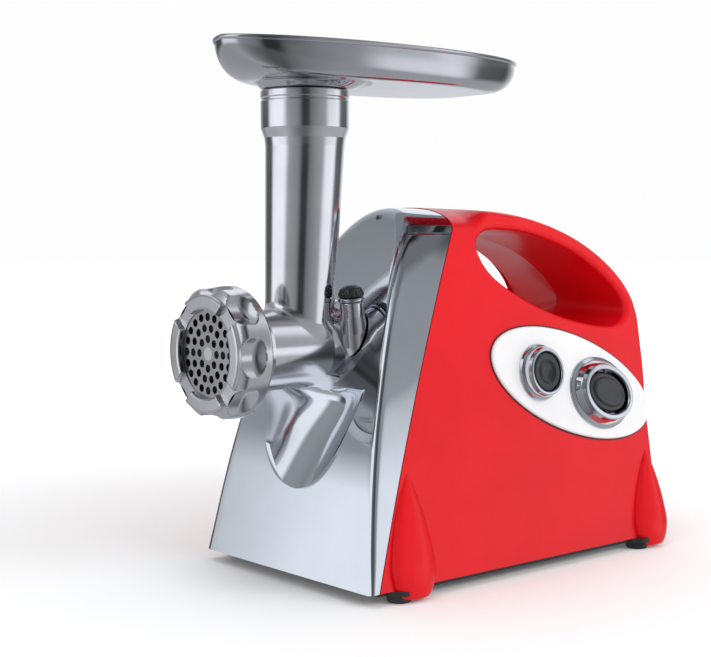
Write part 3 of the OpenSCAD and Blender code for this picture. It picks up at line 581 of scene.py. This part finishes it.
FACE_FOOT_Y, FACE_SLOPE, FACE_BOW = -110, 0.143, 4e-6
TONGUE_FROM_Z, ARCH_TOP_Z, TONGUE_POWER, VAULT_POWER = 110, 234.6, 2.3, 2.6
HOLE_R, BARREL_Z = 30.4, 147
SCOOP_R, SCOOP_TIP_Z, SCOOP_TOP_Z, VAULT_Z = 60, 59, 124, 82
SCOOP_COS, SCOOP_TAN = math.cos(math.radians(37)), math.tan(math.radians(37))


def face_y(z):
    return FACE_FOOT_Y + FACE_SLOPE * z + FACE_BOW * z ** 3


def face_half(z):
    share = max(0, z - TONGUE_FROM_Z) / (ARCH_TOP_Z - TONGUE_FROM_Z)
    return half_width(z) * max(0, 1 - share ** TONGUE_POWER) ** (1 / TONGUE_POWER)


def arch_half(z):
    if z <= SHOULDER_Z:
        return half_width(z)
    return half_width(SHOULDER_Z) * math.sqrt(max(0,
        1 - ((z - SHOULDER_Z) / (ARCH_TOP_Z - SHOULDER_Z)) ** 2))


def scoop_y(x, z):
    across_wall = (math.sqrt(SCOOP_R ** 2 - x * x) - SCOOP_R) / SCOOP_COS
    return face_y(SCOOP_TIP_Z) + across_wall + (z - SCOOP_TIP_Z) * SCOOP_TAN


def hollow_y(x, z):
    """The hollow's wall, which curves forward to the face like a vault at its top."""
    depth = max(0, scoop_y(x, z) - face_y(z))
    share = max(0, z - VAULT_Z) / (SCOOP_TOP_Z - VAULT_Z)
    return face_y(z) + depth * max(0, 1 - share ** VAULT_POWER) ** (1 / VAULT_POWER)


def scoop_half(z):
    back = SCOOP_COS * (face_y(z) - face_y(SCOOP_TIP_Z) - (z - SCOOP_TIP_Z) * SCOOP_TAN)
    return math.sqrt(max(0, SCOOP_R ** 2 - (SCOOP_R + back) ** 2))


rise_run = list(np.linspace(BASE_Z, TONGUE_FROM_Z, 120, endpoint=False))
rise_run += [TONGUE_FROM_Z + (ARCH_TOP_Z - TONGUE_FROM_Z) * math.sin(a) ** (2 / TONGUE_POWER)
    for a in np.linspace(0, math.pi / 2, 260)]
crease = np.array([(face_half(z), z) for z in rise_run])
t = np.gradient(crease, axis=0)
t /= np.linalg.norm(t, axis=1)[:, None]
crease_out = np.stack([t[:, 1], -t[:, 0]], 1)
fold = np.array([4.2 + 1.8 * eased(z, 150, 225) for z in rise_run])
face_edge = crease - crease_out * fold[:, None]
face_edge[:, 0] = np.maximum(face_edge[:, 0], 0)
face_edge[:, 1] = np.maximum.accumulate(face_edge[:, 1] + np.arange(len(face_edge)) * 1e-6)

every = np.arange(len(face_edge))
levels = list(np.linspace(face_edge[0, 1], SCOOP_TIP_Z, 16)) + list(SCOOP_TIP_Z + 56 * np.linspace(0, 1,
    46)[1:] ** 1.7)
levels += [SCOOP_TOP_Z - 0.9, SCOOP_TOP_Z - 0.3, SCOOP_TOP_Z]
levels += [BARREL_Z + HOLE_R * math.sin(a) for a in np.linspace(-math.pi / 2, math.pi / 2, 46)]
shoulder_run = list(np.linspace(186, 217, 14)) + [217.5, 217.9, 218.5, 218.9]
levels += list(np.interp(shoulder_run, crease[:, 1], face_edge[:, 1]))
levels += list(np.interp(np.linspace(302, len(every) - 1, 60), every, face_edge[:, 1]))
levels = sorted(set(round(z, 4) for z in levels))
levels = [z for i, z in enumerate(levels) if i == 0 or z - levels[i - 1] > 0.02]

INNER_COLS, OUTER_COLS, FOLD_STEPS, BAND_COLS = 16, 12, 7, 9
stations = [(z, np.interp(z, face_edge[:, 1], every)) for z in levels]
stations += [(np.interp(at, every, face_edge[:, 1]), at) for at in np.linspace(stations[-1][1], every[-1],
    9)[1:]]
cover_rows = []
for z, at in stations:
    x_end = np.interp(at, every, face_edge[:, 0])
    zc = np.interp(at, every, crease[:, 1])
    wc = face_half(zc)
    x_start = math.sqrt(max(0, HOLE_R ** 2 - (z - BARREL_Z) ** 2)) if abs(z - BARREL_Z) <= HOLE_R else 0
    x_split = scoop_half(z) if z <= SCOOP_TOP_Z else min(0.86 * x_end, scoop_half(SCOOP_TOP_Z))
    outer = [(x, face_y(z), z) for x in np.linspace(x_split, x_end, OUTER_COLS + 1)]
    fold_a = np.array((x_end, face_y(z), z))
    fold_c = np.array((wc, face_y(zc), zc))
    seam_at = np.array((arch_half(zc), seam_y(zc) - 0.2, zc))
    reach = np.linalg.norm(seam_at - fold_c)
    fold_b = fold_c + (seam_at - fold_c) / reach * min(np.interp(at, every, fold), 0.4 * reach)
    bend = [tuple((1 - s) ** 2 * fold_a + 2 * s * (1 - s) * fold_c + s * s * fold_b)
            for s in np.linspace(0, 1, FOLD_STEPS + 1)[1:]]
    groove = 0.55 if 217.6 < zc < 218.7 else 0
    band = [tuple(fold_b * (1 - s) + seam_at * s - np.array((groove * min(1, 4 * s), 0, 0)))
            for s in np.linspace(0, 1, BAND_COLS + 1)[1:]]
    front_of = hollow_y if z <= SCOOP_TOP_Z else (lambda x, height: face_y(height))
    inner = [(x, front_of(x, z), z) for x in np.linspace(x_start, x_split, INNER_COLS + 1)[:-1]]
    cover_rows.append((z, inner + outer + bend + band))
points, faces = skin([row for _, row in cover_rows], around=False)
cols = len(cover_rows[0][1])
kept = []
for i in range(len(cover_rows) - 1):
    for j in range(cols - 1):
        if not (j < INNER_COLS and cover_rows[i + 1][0] <= SCOOP_TIP_Z + 0.001):
            kept.append(faces[i * (cols - 1) + j])
half_cover = (points, kept)

chrome = finish_of("chrome", (0.66, 0.69, 0.73), (0.71, 0.74, 0.78), 1.0, 0.05, 0.085, patch=18.0,
    size=1500.0,
                   depth=0.0006, scratches=0.25)
front_cover = hollowed(mesh_of("chrome_front_cover", joined(half_cover, mirrored(half_cover)), 0.03), 2.0)
edges = front_cover.modifiers.new("edges", "BEVEL")
edges.width, edges.segments, edges.limit_method = 0.5 * MM, 3, "ANGLE"
edges.angle_limit = math.radians(42)
dress(smoothed(settle(front_cover), 40), chrome, "housing", "chrome", "front_cover")


def rounded_outline(corners, radius=0.6, steps=4, closed=True):
    """An outline whose corners are softened; a corner may carry its own radius as a third value."""
    made, n = [], len(corners)
    for i, corner in enumerate(corners):
        here = np.array(corner[:2], float)
        r = corner[2] if len(corner) > 2 else radius
        if r == 0 or (not closed and i in (0, n - 1)):
            made.append(tuple(here))
            continue
        before, after = np.array(corners[i - 1][:2], float) - here, np.array(corners[(i + 1) % n][:2],
            float) - here
        lb, la = np.linalg.norm(before), np.linalg.norm(after)
        half = math.acos(max(-1, min(1, before @ after / (lb * la)))) / 2
        cut = min(r / math.tan(half), 0.45 * lb, 0.45 * la)
        a, b = here + before / lb * cut, here + after / la * cut
        made += [tuple((1 - s) ** 2 * a + 2 * s * (1 - s) * here + s * s * b) for s in np.linspace(0, 1,
            steps + 1)]
    return made


def turned(outline, place, around=96, half=(0, 0), closed=True):
    """Turns an outline of (radius, height) about a placement's z; half adds an oval's half lengths."""
    rings = [[place @ Vector(((half[0] + r) * math.cos(a), (half[1] + r) * math.sin(a), h))
              for a in (math.tau * k / around for k in range(around))] for r, h in outline]
    return skin(rings, back_to_start=closed)


ON_BARREL = facing_y(0, BARREL_Z)

# The round opening's rim turns inwards and runs back as a short tube to the collar.
WELL_SIDES, WELL_REAR_Y = 96, -58
well = []
# Each step is how far it lies outside the opening and behind the face; None is the tube's rear end.
for turn_in, back in [(0.3, -0.02), (-0.25, 0.12), (-0.6, 0.6), (-0.6, 2),
                      (-0.6, None), (1.4, None), (1.4, 2.5), (0.3, 0.9)]:
    ring = []
    for k in range(WELL_SIDES):
        a = math.tau * k / WELL_SIDES
        x, z = HOLE_R * math.cos(a), BARREL_Z + HOLE_R * math.sin(a)
        front = hollow_y(abs(x), z) if z < SCOOP_TOP_Z and scoop_half(z) > abs(x) else face_y(z)
        y = WELL_REAR_Y if back is None else min(front + back, WELL_REAR_Y)
        ring.append(((HOLE_R + turn_in) * math.cos(a), y, BARREL_Z + (HOLE_R + turn_in) * math.sin(a)))
    well.append(ring)
dress(smoothed(mesh_of("opening_rim", skin(well, back_to_start=True))), chrome, "housing", "chrome")
collar = turned(rounded_outline([(30, -66, 1), (30, -49, 0.3), (34, -48), (34, -44), (25.3, -44),
    (25.3, -66, 0.8)]), ON_BARREL)
dress(smoothed(mesh_of("head_collar", collar)), chrome, "housing", "chrome", "outlet_socket")

# ---- Base, feet and cord inlet ----
# A black moulded base plate closes the housing from below and stands on four rubber pads.
# The inlet is a black bush in the rear wall, where the mains lead would enter.

black_mould = finish_of("black_mould", (0.02, 0.02, 0.021), (0.03, 0.03, 0.031), 0.0, 0.42, 0.55,
    size=1800.0, depth=0.03)
rubber = finish_of("foot_rubber", (0.018, 0.017, 0.018), (0.04, 0.038, 0.04), 0.0, 0.7, 0.85, size=1500.0,
    depth=0.05)
screw_steel = finish_of("screw_steel", (0.5, 0.5, 0.51), (0.62, 0.62, 0.63), 1.0, 0.25, 0.4, size=1600.0,
    depth=0.01)


def repaint(material, slot, *names):
    """A finish for CAD nodes that are shown as they are."""
    for name in names:
        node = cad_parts[name]
        node.data.materials.clear()
        node.data.materials.append(material)


repaint(black_mould, "black_plastic", "base_plate", "cord_inlet")
repaint(screw_steel, "steel", "base_screws", "housing_screws", "gearbox_screws")
FEET = [(sx * 80, y) for sx in (-1, 1) for y in (-84, 139)]
pad = rounded_outline([(0, 2.4, 0), (4, 2.4, 0.3), (4, 5, 0.3), (8, 5, 0.8), (7.2, 0, 1.6), (0, 0, 0)],
    closed=False)
feet = joined(*[turned(pad, Matrix.Translation((x, y, 0)), 48, closed=False) for x, y in FEET])
dress(smoothed(mesh_of("foot_pads", feet)), rubber, "housing", "rubber", "rubber_feet")

# ---- Control panel ----
# An oval plate in pearl silver on the leaning side, ringed at its foot by a thin black band: painted
# shade for the shadowed gap round it.
# Two plated bezels stand on it: a round one with the reverse button, an oval one with the rocker.

pearl = finish_of("pearl_panel", (0.70, 0.70, 0.71), (0.76, 0.76, 0.77), 0.0, 0.16, 0.24, patch=12.0,
    size=2200.0,
                  depth=0.002, coat=0.6, coat_roughness=0.04)
button_black = finish_of("button_black", (0.012, 0.012, 0.014), (0.02, 0.02, 0.022), 0.0, 0.22, 0.34,
    size=2000.0,
                         depth=0.01, coat=0.3)
REVERSE = on_panel @ Matrix.Translation((2, -35.5, 0))
POWER = on_panel @ Matrix.Translation((0, 25, 0))
PANEL_HALF, PANEL_SIDES = (33, 79), 160
PIN_HEIGHT, PIN_BORE_R = 5, 1.35


# The plate's flat is a web between its rounded edge and the two openings, so each opening is cut.
rings = []
for off, h in rounded_outline([(-1.0, 2.2, 0), (0, 1.3, 0.8), (0, 0.3, 0.2), (-1.4, 0.05, 0)],
    closed=False):
    rings.append([on_panel @ Vector(((PANEL_HALF[0] + off) * math.cos(a),
        (PANEL_HALF[1] + off) * math.sin(a), h))
                  for a in (math.tau * k / PANEL_SIDES for k in range(PANEL_SIDES))])
points, faces = skin(rings)
faces += [tuple(range(PANEL_SIDES)), tuple(range(len(points) - PANEL_SIDES, len(points)))]
plate = mesh_of("oval_panel", (points, faces))
cut_by(plate, joined(bar_body(REVERSE, 6, -3, 9), bar_body(POWER @ Matrix.Diagonal((14.6, 20.6, 1, 1)), 1,
    -3, 9)))
dress(smoothed(plate, 30), pearl, "housing", "panel_silver", "control_panel")

# Painted shade: a thin black ring round the plate's foot stands for the shadow in the gap under its edge.
painted_shade_ring = turned(rounded_outline([(0.2, 0.05), (1.0, 0.05), (1.0, 0.5), (0.2, 0.5)], 0.1, 2), on_panel,
    PANEL_SIDES, PANEL_HALF)
dress(smoothed(mesh_of("panel_painted_shade_ring", painted_shade_ring)), black_mould, "housing", "black_plastic")

reverse_ring = rounded_outline([(13.1, 0, 0), (13.1, 9.4, 0.4), (13.6, 10.7, 0.8), (15.4, 10.6, 1.0),
    (16.6, 8.2, 1.5),
                                (16.6, 5.6, 0.8), (18.2, 4.6, 0.8), (19, 2.9, 0.6), (19, 2.2,
                                    0.2)], steps=5)
dress(smoothed(mesh_of("reverse_ring", turned(reverse_ring, REVERSE)), 50), chrome, "housing", "chrome",
    "reverse_bezel")
cap = rounded_outline([(0, 8.0, 0), (3.5, 8.1, 1), (6.2, 8.7, 1.5), (8.2, 9.9, 0.8), (11.6, 10, 1.2),
    (12.6, 9, 0.8),
                       (12.6, 5.8, 0.3), (5, 5.8, 0.3), (5, -9, 0.3), (0, -9, 0)], steps=5, closed=False)
dress(smoothed(mesh_of("reverse_cap", turned(cap, REVERSE, closed=False))), button_black, "reverse",
    "black_plastic",
      "reverse_button")

power_ring = rounded_outline([(1.6, 0, 0), (1.6, 10.4, 0.4), (2.2, 11.8, 0.8), (5.2, 11.7, 1.2),
    (6.6, 9.2, 1.5),
                              (8.6, 4.8, 1.2), (11.0, 3.6, 0.8), (11.5, 2.2, 0.2)], steps=5)
dress(smoothed(mesh_of("power_ring", turned(power_ring, POWER, 128, (13, 19))), 50), chrome, "housing",
    "chrome", "power_bezel")
rocker_edge = rounded_outline([(-13, 11.3, 0), (-6.5, 11.5, 1), (-4.2, 11.2, 0.8), (-3.4, 10.0, 0.8),
    (-1.0, 9.8, 0.9),
                               (0, 8.8, 0.8), (0, 2.6, 0.3), (-13, 2.6, 0)], steps=5, closed=False)
rocker_cap = mesh_of("rocker_cap", turned(rocker_edge, POWER, 128, (13, 19), closed=False))
pin_axis = POWER @ Matrix.Translation((0, 0, PIN_HEIGHT)) @ Matrix.Rotation(math.pi / 2, 4, "Y")
cut_by(rocker_cap, bar_body(pin_axis, PIN_BORE_R, -20, 20))
dress(smoothed(rocker_cap, 50), button_black, "rocker", "black_plastic", "power_rocker")
repaint(screw_steel, "steel", "rocker_pin")
repaint(black_mould, "black_plastic", "reverse_switch", "power_switch")

# ---- Cast head: barrel and feed tube ----
# One aluminium casting, polished outside: a level barrel with a threaded mouth, an upright feed
# tube with a cup for the tray, and a lug for the lock screw. The tube's foot flows into the barrel.

polished_cast = finish_of("polished_cast", (0.74, 0.74, 0.76), (0.84, 0.84, 0.86), 1.0, 0.12, 0.18,
    patch=26.0,
                          size=700.0, depth=0.006, scratches=0.5)
barrel = rounded_outline([(27.4, -163.6), (31, -163.6, 1), (31, -147, 1.5), (25.6, -138, 4),
    (25, -133, 3), (25, -88, 5),
                          (26.4, -80, 3), (28, -76.5, 1.2), (28, -66.5, 0.8), (25, -66.5, 0.3), (25, -47,
                              1),
                          (14, -47, 0.5), (14, -66, 0.3), (11, -66, 0.3), (11, -74, 0.3), (19, -74, 0.3),
                          (19, -150, 0.5), (27.4, -150, 0.4)], steps=6)
barrel_piece = mesh_of("head_barrel", turned(barrel, ON_BARREL, 144))
TUBE_Y, LEAN_FROM_Z, TUBE_LEAN = -91, 274, math.radians(2.6)
leaning = Matrix.Translation((0, TUBE_Y, LEAN_FROM_Z)) @ Matrix.Rotation(-TUBE_LEAN, 4, "X")
cut_by(barrel_piece, bar_body(leaning, 17.5, -129, -90, 96))
dress(smoothed(barrel_piece, 35), polished_cast, "head", "cast_aluminium", "head_casting")

TUBE_SIDES, FOOT_FILLET, FOOT_R, BARREL_R = 144, 5.0, 21.8, 25.0


def tube_middle(z):
    return TUBE_Y - max(0, LEAN_FROM_Z - z) * math.tan(TUBE_LEAN)


tube_rings = []
for u in np.concatenate([np.linspace(0, 1, 9), np.linspace(1.1, 1.6, 4)]):
    ring = []
    for k in range(TUBE_SIDES):
        a = math.tau * k / TUBE_SIDES
        lift = FOOT_FILLET * (1 - math.cos(min(u, 1) * math.pi / 2))
        flare = FOOT_FILLET * (1 - math.sin(min(u, 1) * math.pi / 2)) * 0.9
        r = FOOT_R + flare
        x = min(BARREL_R - 0.1, abs(r * math.cos(a))) * (1 if math.cos(a) >= 0 else -1)
        foot = BARREL_Z + math.sqrt(max(0, BARREL_R ** 2 - x * x))
        z = foot - 0.4 + lift + 8 * max(0, u - 1)
        ring.append((x, tube_middle(z) + r * math.sin(a), z))
    tube_rings.append(ring)
above = rounded_outline([(21.9, 184, 0), (22.1, 190, 4), (24.6, 272, 6), (25.2, 277, 2), (27.4, 283, 2),
    (27.5, 299.4, 0.6),
                         (27.0, 300, 0.3), (27.0, 301.2, 0.3), (27.6, 301.8, 0.5), (27.6, 306, 0.8), (25,
                             306, 0.6),
                         (25, 281, 0.6), (21, 280, 0.6), (19, 276, 0.6), (19, 164,
                             0)], closed=False, steps=5)
for r, z in above:
    turns = [math.tau * k / TUBE_SIDES for k in range(TUBE_SIDES)]
    tube_rings.append([(r * math.cos(a), tube_middle(z) + r * math.sin(a), z) for a in turns])
dress(smoothed(mesh_of("feed_tube", skin(tube_rings))), polished_cast, "head", "cast_aluminium")

COVER_GAP = 1.2
AT_LOCK = Matrix.Translation((27, -76, 176)) @ Matrix.Rotation(math.radians(6), 4, "X")
lug_outline = rounded_outline([(0, -27.5, 0), (3.05, -27.5, 0.2), (3.05, 0, 0.3), (7.4, 0, 0.9),
    (7.6, -9, 3), (9.4, -19, 5),
                               (9.0, -28, 4), (6.0, -34.5, 4), (0, -36.5, 0)], steps=5, closed=False)
# The lug is trimmed along the cover's face, so that the head slides out past it.
behind_face = [(face_y(z) - COVER_GAP, z) for z in np.linspace(130, 200, 15)] + [(-30, 200), (-30, 130)]
points, faces = skin([[(x, y, z) for y, z in behind_face] for x in (10, 60)])
trim = points, faces + [tuple(range(len(behind_face))),
    tuple(range(len(behind_face), 2 * len(behind_face)))]
lock_lug = cut_by(mesh_of("lock_lug", turned(lug_outline, AT_LOCK, 72, closed=False)), trim)
dress(smoothed(lock_lug), polished_cast, "head", "cast_aluminium")

# ---- Head lock ----
# A plated collar and a domed black knob on a steel screw clamp the head in its collar.
# The knob's side is ribbed so that fingers can turn it.

dome = rounded_outline([(0, 10.6, 0), (3.2, 10.3, 2), (6.6, 8.6, 2.5), (8.0, 5.6, 1.5), (8.0, 3.5, 0.4),
    (0, 3.3, 0)], closed=False, steps=6)
KNOB_RIBS = 18
points, faces = turned(dome, Matrix.Identity(4), 144, closed=False)
knob_points = []
for x, y, z in points:
    r, a = math.hypot(x, y), math.atan2(y, x)
    r -= 0.35 * (0.5 + 0.5 * math.cos(KNOB_RIBS * a)) * eased(r, 7.2, 7.9)
    knob_points.append(tuple(AT_LOCK @ Vector((r * math.cos(a), r * math.sin(a), z))))
dress(smoothed(mesh_of("lock_cap", (knob_points, faces))), button_black, "lock", "black_plastic",
    "lock_knob")
ring_outline = rounded_outline([(3.1, 0.4, 0.2), (8.3, 0.4, 0.8), (8.3, 2.0, 0.8), (7.0, 3.2, 0.8),
    (3.1, 3.2, 0.2)], steps=5)
dress(smoothed(mesh_of("lock_ring", turned(ring_outline, AT_LOCK, 72))), chrome, "lock", "chrome",
    "lock_collar")
repaint(screw_steel, "steel", "lock_screw")

# ---- Ring nut, cutting plate, knife and auger ----
# The cast ring nut screws on the barrel's mouth and holds the plate. Eight scooped flutes give it
# its grip, and four notches in the lip take a spanner.

RING_R, RING_FRONT, RING_REAR, LIP_R, LIP_REAR = 40, -169, -146, 35.4, -166
FLUTE_R, FLUTE_OUT, FLUTE_END, FLUTE_RISE, RISE_RUN = 17.2, 51.2, -151, 6.5, 7
NOTCH_HALF, NOTCH_FLOOR = 7.2, -165.6
RING_SIDES = 384


def flute_wall(angle, y):
    """How far from the ring's axis a flute's wall lies; its rear end rises out of the ring."""
    off = (angle + math.pi / 8) % (math.pi / 4) - math.pi / 8
    side = FLUTE_OUT * math.sin(off)
    if y <= LIP_REAR or abs(side) >= FLUTE_R:
        return RING_R + 1
    rise = FLUTE_RISE * max(0, (y - FLUTE_END + RISE_RUN) / RISE_RUN) ** 2
    return FLUTE_OUT * math.cos(off) - math.sqrt(FLUTE_R ** 2 - side ** 2) + rise


ring_outline = [(31.6, RING_REAR), (38.8, RING_REAR), (39.65, -146.35)] + [(RING_R,
    y) for y in np.linspace(-147.2, -162.4, 26)]
ring_outline += [(39.6, -163.4), (38.6, -164.4), (37.2, -165.3), (36.1, -165.9), (35.5, -166.1),
    (LIP_R, -166.6), (LIP_R, -168.1)]
ring_outline += [(35.1, -168.7), (34.4, RING_FRONT)] + [(r, RING_FRONT) for r in np.linspace(33.6, 27.4,
    8)]
ring_outline += [(26.7, -168.7), (26.4, -168.0), (26.4, -165.2), (31.3, -165.2), (31.3, -146.5)]
rings = []
for r, y in ring_outline:
    ring = []
    for k in range(RING_SIDES):
        a = math.tau * k / RING_SIDES
        across_notch = abs((a + math.pi / 2) % (math.pi / 2) - math.pi / 4) * r
        in_notch = (1 - eased(across_notch, NOTCH_HALF - 0.3, NOTCH_HALF + 0.5)) if y < NOTCH_FLOOR else 0
        far = min(r, flute_wall(a, y)) if r > LIP_R + 0.05 else r
        ring.append((far * math.cos(a), y + (NOTCH_FLOOR - y) * in_notch, BARREL_Z + far * math.sin(a)))
    rings.append(ring)
ring_metal = finish_of("ring_metal", (0.62, 0.62, 0.64), (0.74, 0.74, 0.76), 1.0, 0.16, 0.24, patch=30.0,
    size=800.0,
                       depth=0.008, scratches=0.4)
dress(smoothed(mesh_of("fluted_ring", skin(rings, back_to_start=True)), 40), ring_metal, "ring",
    "cast_aluminium", "ring_nut")

blade_steel = finish_of("blade_steel", (0.42, 0.42, 0.43), (0.52, 0.52, 0.53), 1.0, 0.22, 0.34,
    size=1400.0, depth=0.01, scratches=0.9)
repaint(blade_steel, "blade_steel", "cutting_plate", "knife")
repaint(polished_cast, "cast_aluminium", "auger")
nylon = finish_of("nylon", (0.70, 0.68, 0.62), (0.78, 0.76, 0.70), 0.0, 0.38, 0.5, size=1200.0,
    depth=0.01)
repaint(nylon, "nylon", "auger_bush", "output_gear", "second_gear", "first_gear", "cooling_fan")

# ---- Hopper tray ----
# A deep-drawn steel dish with a rolled rim. Its long sides stand steep over a tight fold, its ends
# sweep up like a boat's, and a short neck under the floor drops into the feed tube's cup.

TRAY_Y, TRAY_L, TRAY_W, RIM_Z, FLOOR_Z, SHEET = -34, 242, 107, 336, 311, 1.3
NECK_TOP_Z, FUNNEL, RIM_DIP = 306.4, 16, 2.8
NECK_R, NECK_HOLE_R, NECK_LOW_Z = 24.7, 22.5, 283
TRAY_SIDES, BEAD_R = 192, 1.6


def rim_z(angle):
    return RIM_Z - RIM_DIP * abs(math.cos(angle)) ** 0.8


def dish_ring(angle, t, inside):
    """A point on the dish's wall: t runs from the floor's edge (0) to the rim (1)."""
    end = abs(math.sin(angle)) ** 3
    floor_share = 0.87 * (1 - end) + (0.64 if math.sin(angle) > 0 else 0.745) * end
    power = 3.6 * (1 - end) + 2.0 * end
    phi = t * math.pi / 2
    share = floor_share + (1 - floor_share) * math.sin(phi) ** (2 / power)
    lift = 1 - math.cos(phi) ** (2 / power)
    a, b = TRAY_W / 2 - BEAD_R, TRAY_L / 2 - BEAD_R
    shrink = SHEET if inside else 0
    return ((a * share - shrink) * math.cos(angle), TRAY_Y + (b * share - shrink) * math.sin(angle),
            FLOOR_Z + SHEET * inside * (1 - t) + (rim_z(angle) - BEAD_R - FLOOR_Z) * lift)


angles = [math.tau * k / TRAY_SIDES for k in range(TRAY_SIDES)]
wall_run = [(k / 20) ** 0.9 for k in range(21)]
hole_middle = np.array((0, TUBE_Y))


def floor_run(radius, z_hole, inside, shares):
    """Rows across the floor from the neck's hole out to the wall."""
    rows = []
    for s in shares:
        row = []
        for a in angles:
            x, y, z = dish_ring(a, 0, inside)
            way = np.array((x, y)) - hole_middle
            near = hole_middle + way / np.linalg.norm(way) * radius
            px, py = near * (1 - s) + np.array((x, y)) * s
            away = math.hypot(px - hole_middle[0], py - hole_middle[1]) - radius
            fall = min(FUNNEL, np.linalg.norm(way) - radius)
            row.append((px, py, z_hole + (z - z_hole) * eased(away, 0, fall)))
        rows.append(row)
    return rows


dish = floor_run(NECK_R + 0.9, NECK_TOP_Z, 0, [0.001] + list(np.linspace(0.06, 1, 12)))
dish += [[dish_ring(a, t, 0) for a in angles] for t in wall_run[1:]]
for k in range(1, 12):
    phi = -math.pi / 2 + k * math.pi * 1.25 / 11
    dish.append([((TRAY_W / 2 - BEAD_R - 0.3 + BEAD_R * math.cos(phi)) * math.cos(a),
                  TRAY_Y + (TRAY_L / 2 - BEAD_R - 0.3 + BEAD_R * math.cos(phi)) * math.sin(a),
                  rim_z(a) - BEAD_R + BEAD_R * math.sin(phi)) for a in angles])
dish += [[dish_ring(a, t, 1) for a in angles] for t in reversed(wall_run[:-1])]
dish += floor_run(NECK_HOLE_R + 1.2, NECK_TOP_Z + SHEET, 1, list(np.linspace(1, 0, 12))[1:])
neck = [(NECK_HOLE_R + 1.1, NECK_TOP_Z + SHEET - 0.05, 0), (NECK_HOLE_R, NECK_TOP_Z + SHEET - 1, 1),
        (NECK_HOLE_R, NECK_LOW_Z, 0.4), (NECK_R, NECK_LOW_Z, 0.6), (NECK_R, NECK_TOP_Z - 0.8, 0.6),
        (NECK_R + 0.8, NECK_TOP_Z - 0.02, 0)]
for r, z in rounded_outline(neck, closed=False):
    ring = []
    for a in angles:
        x, y, _ = dish_ring(a, 0, 0)
        way = np.array((x, y)) - hole_middle
        px, py = hole_middle + way / np.linalg.norm(way) * r
        ring.append((px, py, z))
    dish.append(ring)
tray_steel = finish_of("tray_steel", (0.56, 0.56, 0.58), (0.64, 0.64, 0.66), 1.0, 0.1, 0.17, patch=16.0,
    size=900.0,
                       depth=0.002, scratches=0.8)
dress(smoothed(mesh_of("hopper_tray", skin(dish, back_to_start=True)), 45), tray_steel, "tray",
    "tray_steel", "tray")

# ---- Drive inside the housing ----
# A universal motor drives the auger through three pairs of gears in a black gearbox.
# These pieces are seen only through the vents or with the shells off, and keep their CAD shape.


def stripes(axis, count, sharp):
    """Fine bands across one axis, as in stacked sheet or wound wire."""
    def pattern(tree):
        split = node_of(tree, "ShaderNodeSeparateXYZ", Vector=node_of(tree,
            "ShaderNodeTexCoord").outputs["Object"])
        wave = math_of(tree, "SINE", math_of(tree, "MULTIPLY", split.outputs[axis], count))
        return node_of(tree, "ShaderNodeMapRange", Value=wave, From_Min=-sharp,
            From_Max=sharp).outputs["Result"]
    return pattern


sheet_stack = finish_of("sheet_stack", (0.12, 0.12, 0.13), (0.3, 0.3, 0.31), 0.8, 0.35, 0.5,
    pattern=stripes(1, 12000.0, 0.6))
copper_wire = finish_of("copper_wire", (0.28, 0.09, 0.03), (0.62, 0.26, 0.11), 0.9, 0.3, 0.42,
    pattern=stripes(2, 9000.0, 0.9))
brass = finish_of("brush_brass", (0.55, 0.4, 0.16), (0.66, 0.5, 0.24), 1.0, 0.28, 0.4)
carbon = finish_of("carbon_block", (0.02, 0.02, 0.02), (0.05, 0.05, 0.05), 0.0, 0.5, 0.65, size=2400.0,
    depth=0.03)
green_board = finish_of("green_board", (0.01, 0.12, 0.05), (0.03, 0.22, 0.1), 0.0, 0.3, 0.42,
    pattern=stripes(0, 1400.0, 0.2))
bracket_cast = finish_of("bracket_cast", (0.36, 0.36, 0.37), (0.46, 0.46, 0.47), 1.0, 0.42, 0.55,
    size=500.0, depth=0.05)
gearbox_black = finish_of("gearbox_black", (0.03, 0.03, 0.032), (0.045, 0.045, 0.048), 0.0, 0.45, 0.6,
    size=1100.0, depth=0.05)
repaint(gearbox_black, "matte_black", "gearbox_housing", "gearbox_cover")
repaint(screw_steel, "steel", "output_bearing", "output_shaft", "motor_pinion", "motor_shaft",
    "motor_bearings")
repaint(bracket_cast, "cast_aluminium", "motor_front_bracket", "motor_rear_bracket")
repaint(sheet_stack, "laminations", "stator_core", "armature_core")
repaint(copper_wire, "copper", "field_coils", "armature_windings", "commutator")
repaint(brass, "brush_brass", "brush_holders")
repaint(carbon, "carbon", "carbon_brushes")
repaint(green_board, "board", "circuit_board")
repaint(black_mould, "black_plastic", "board_parts")
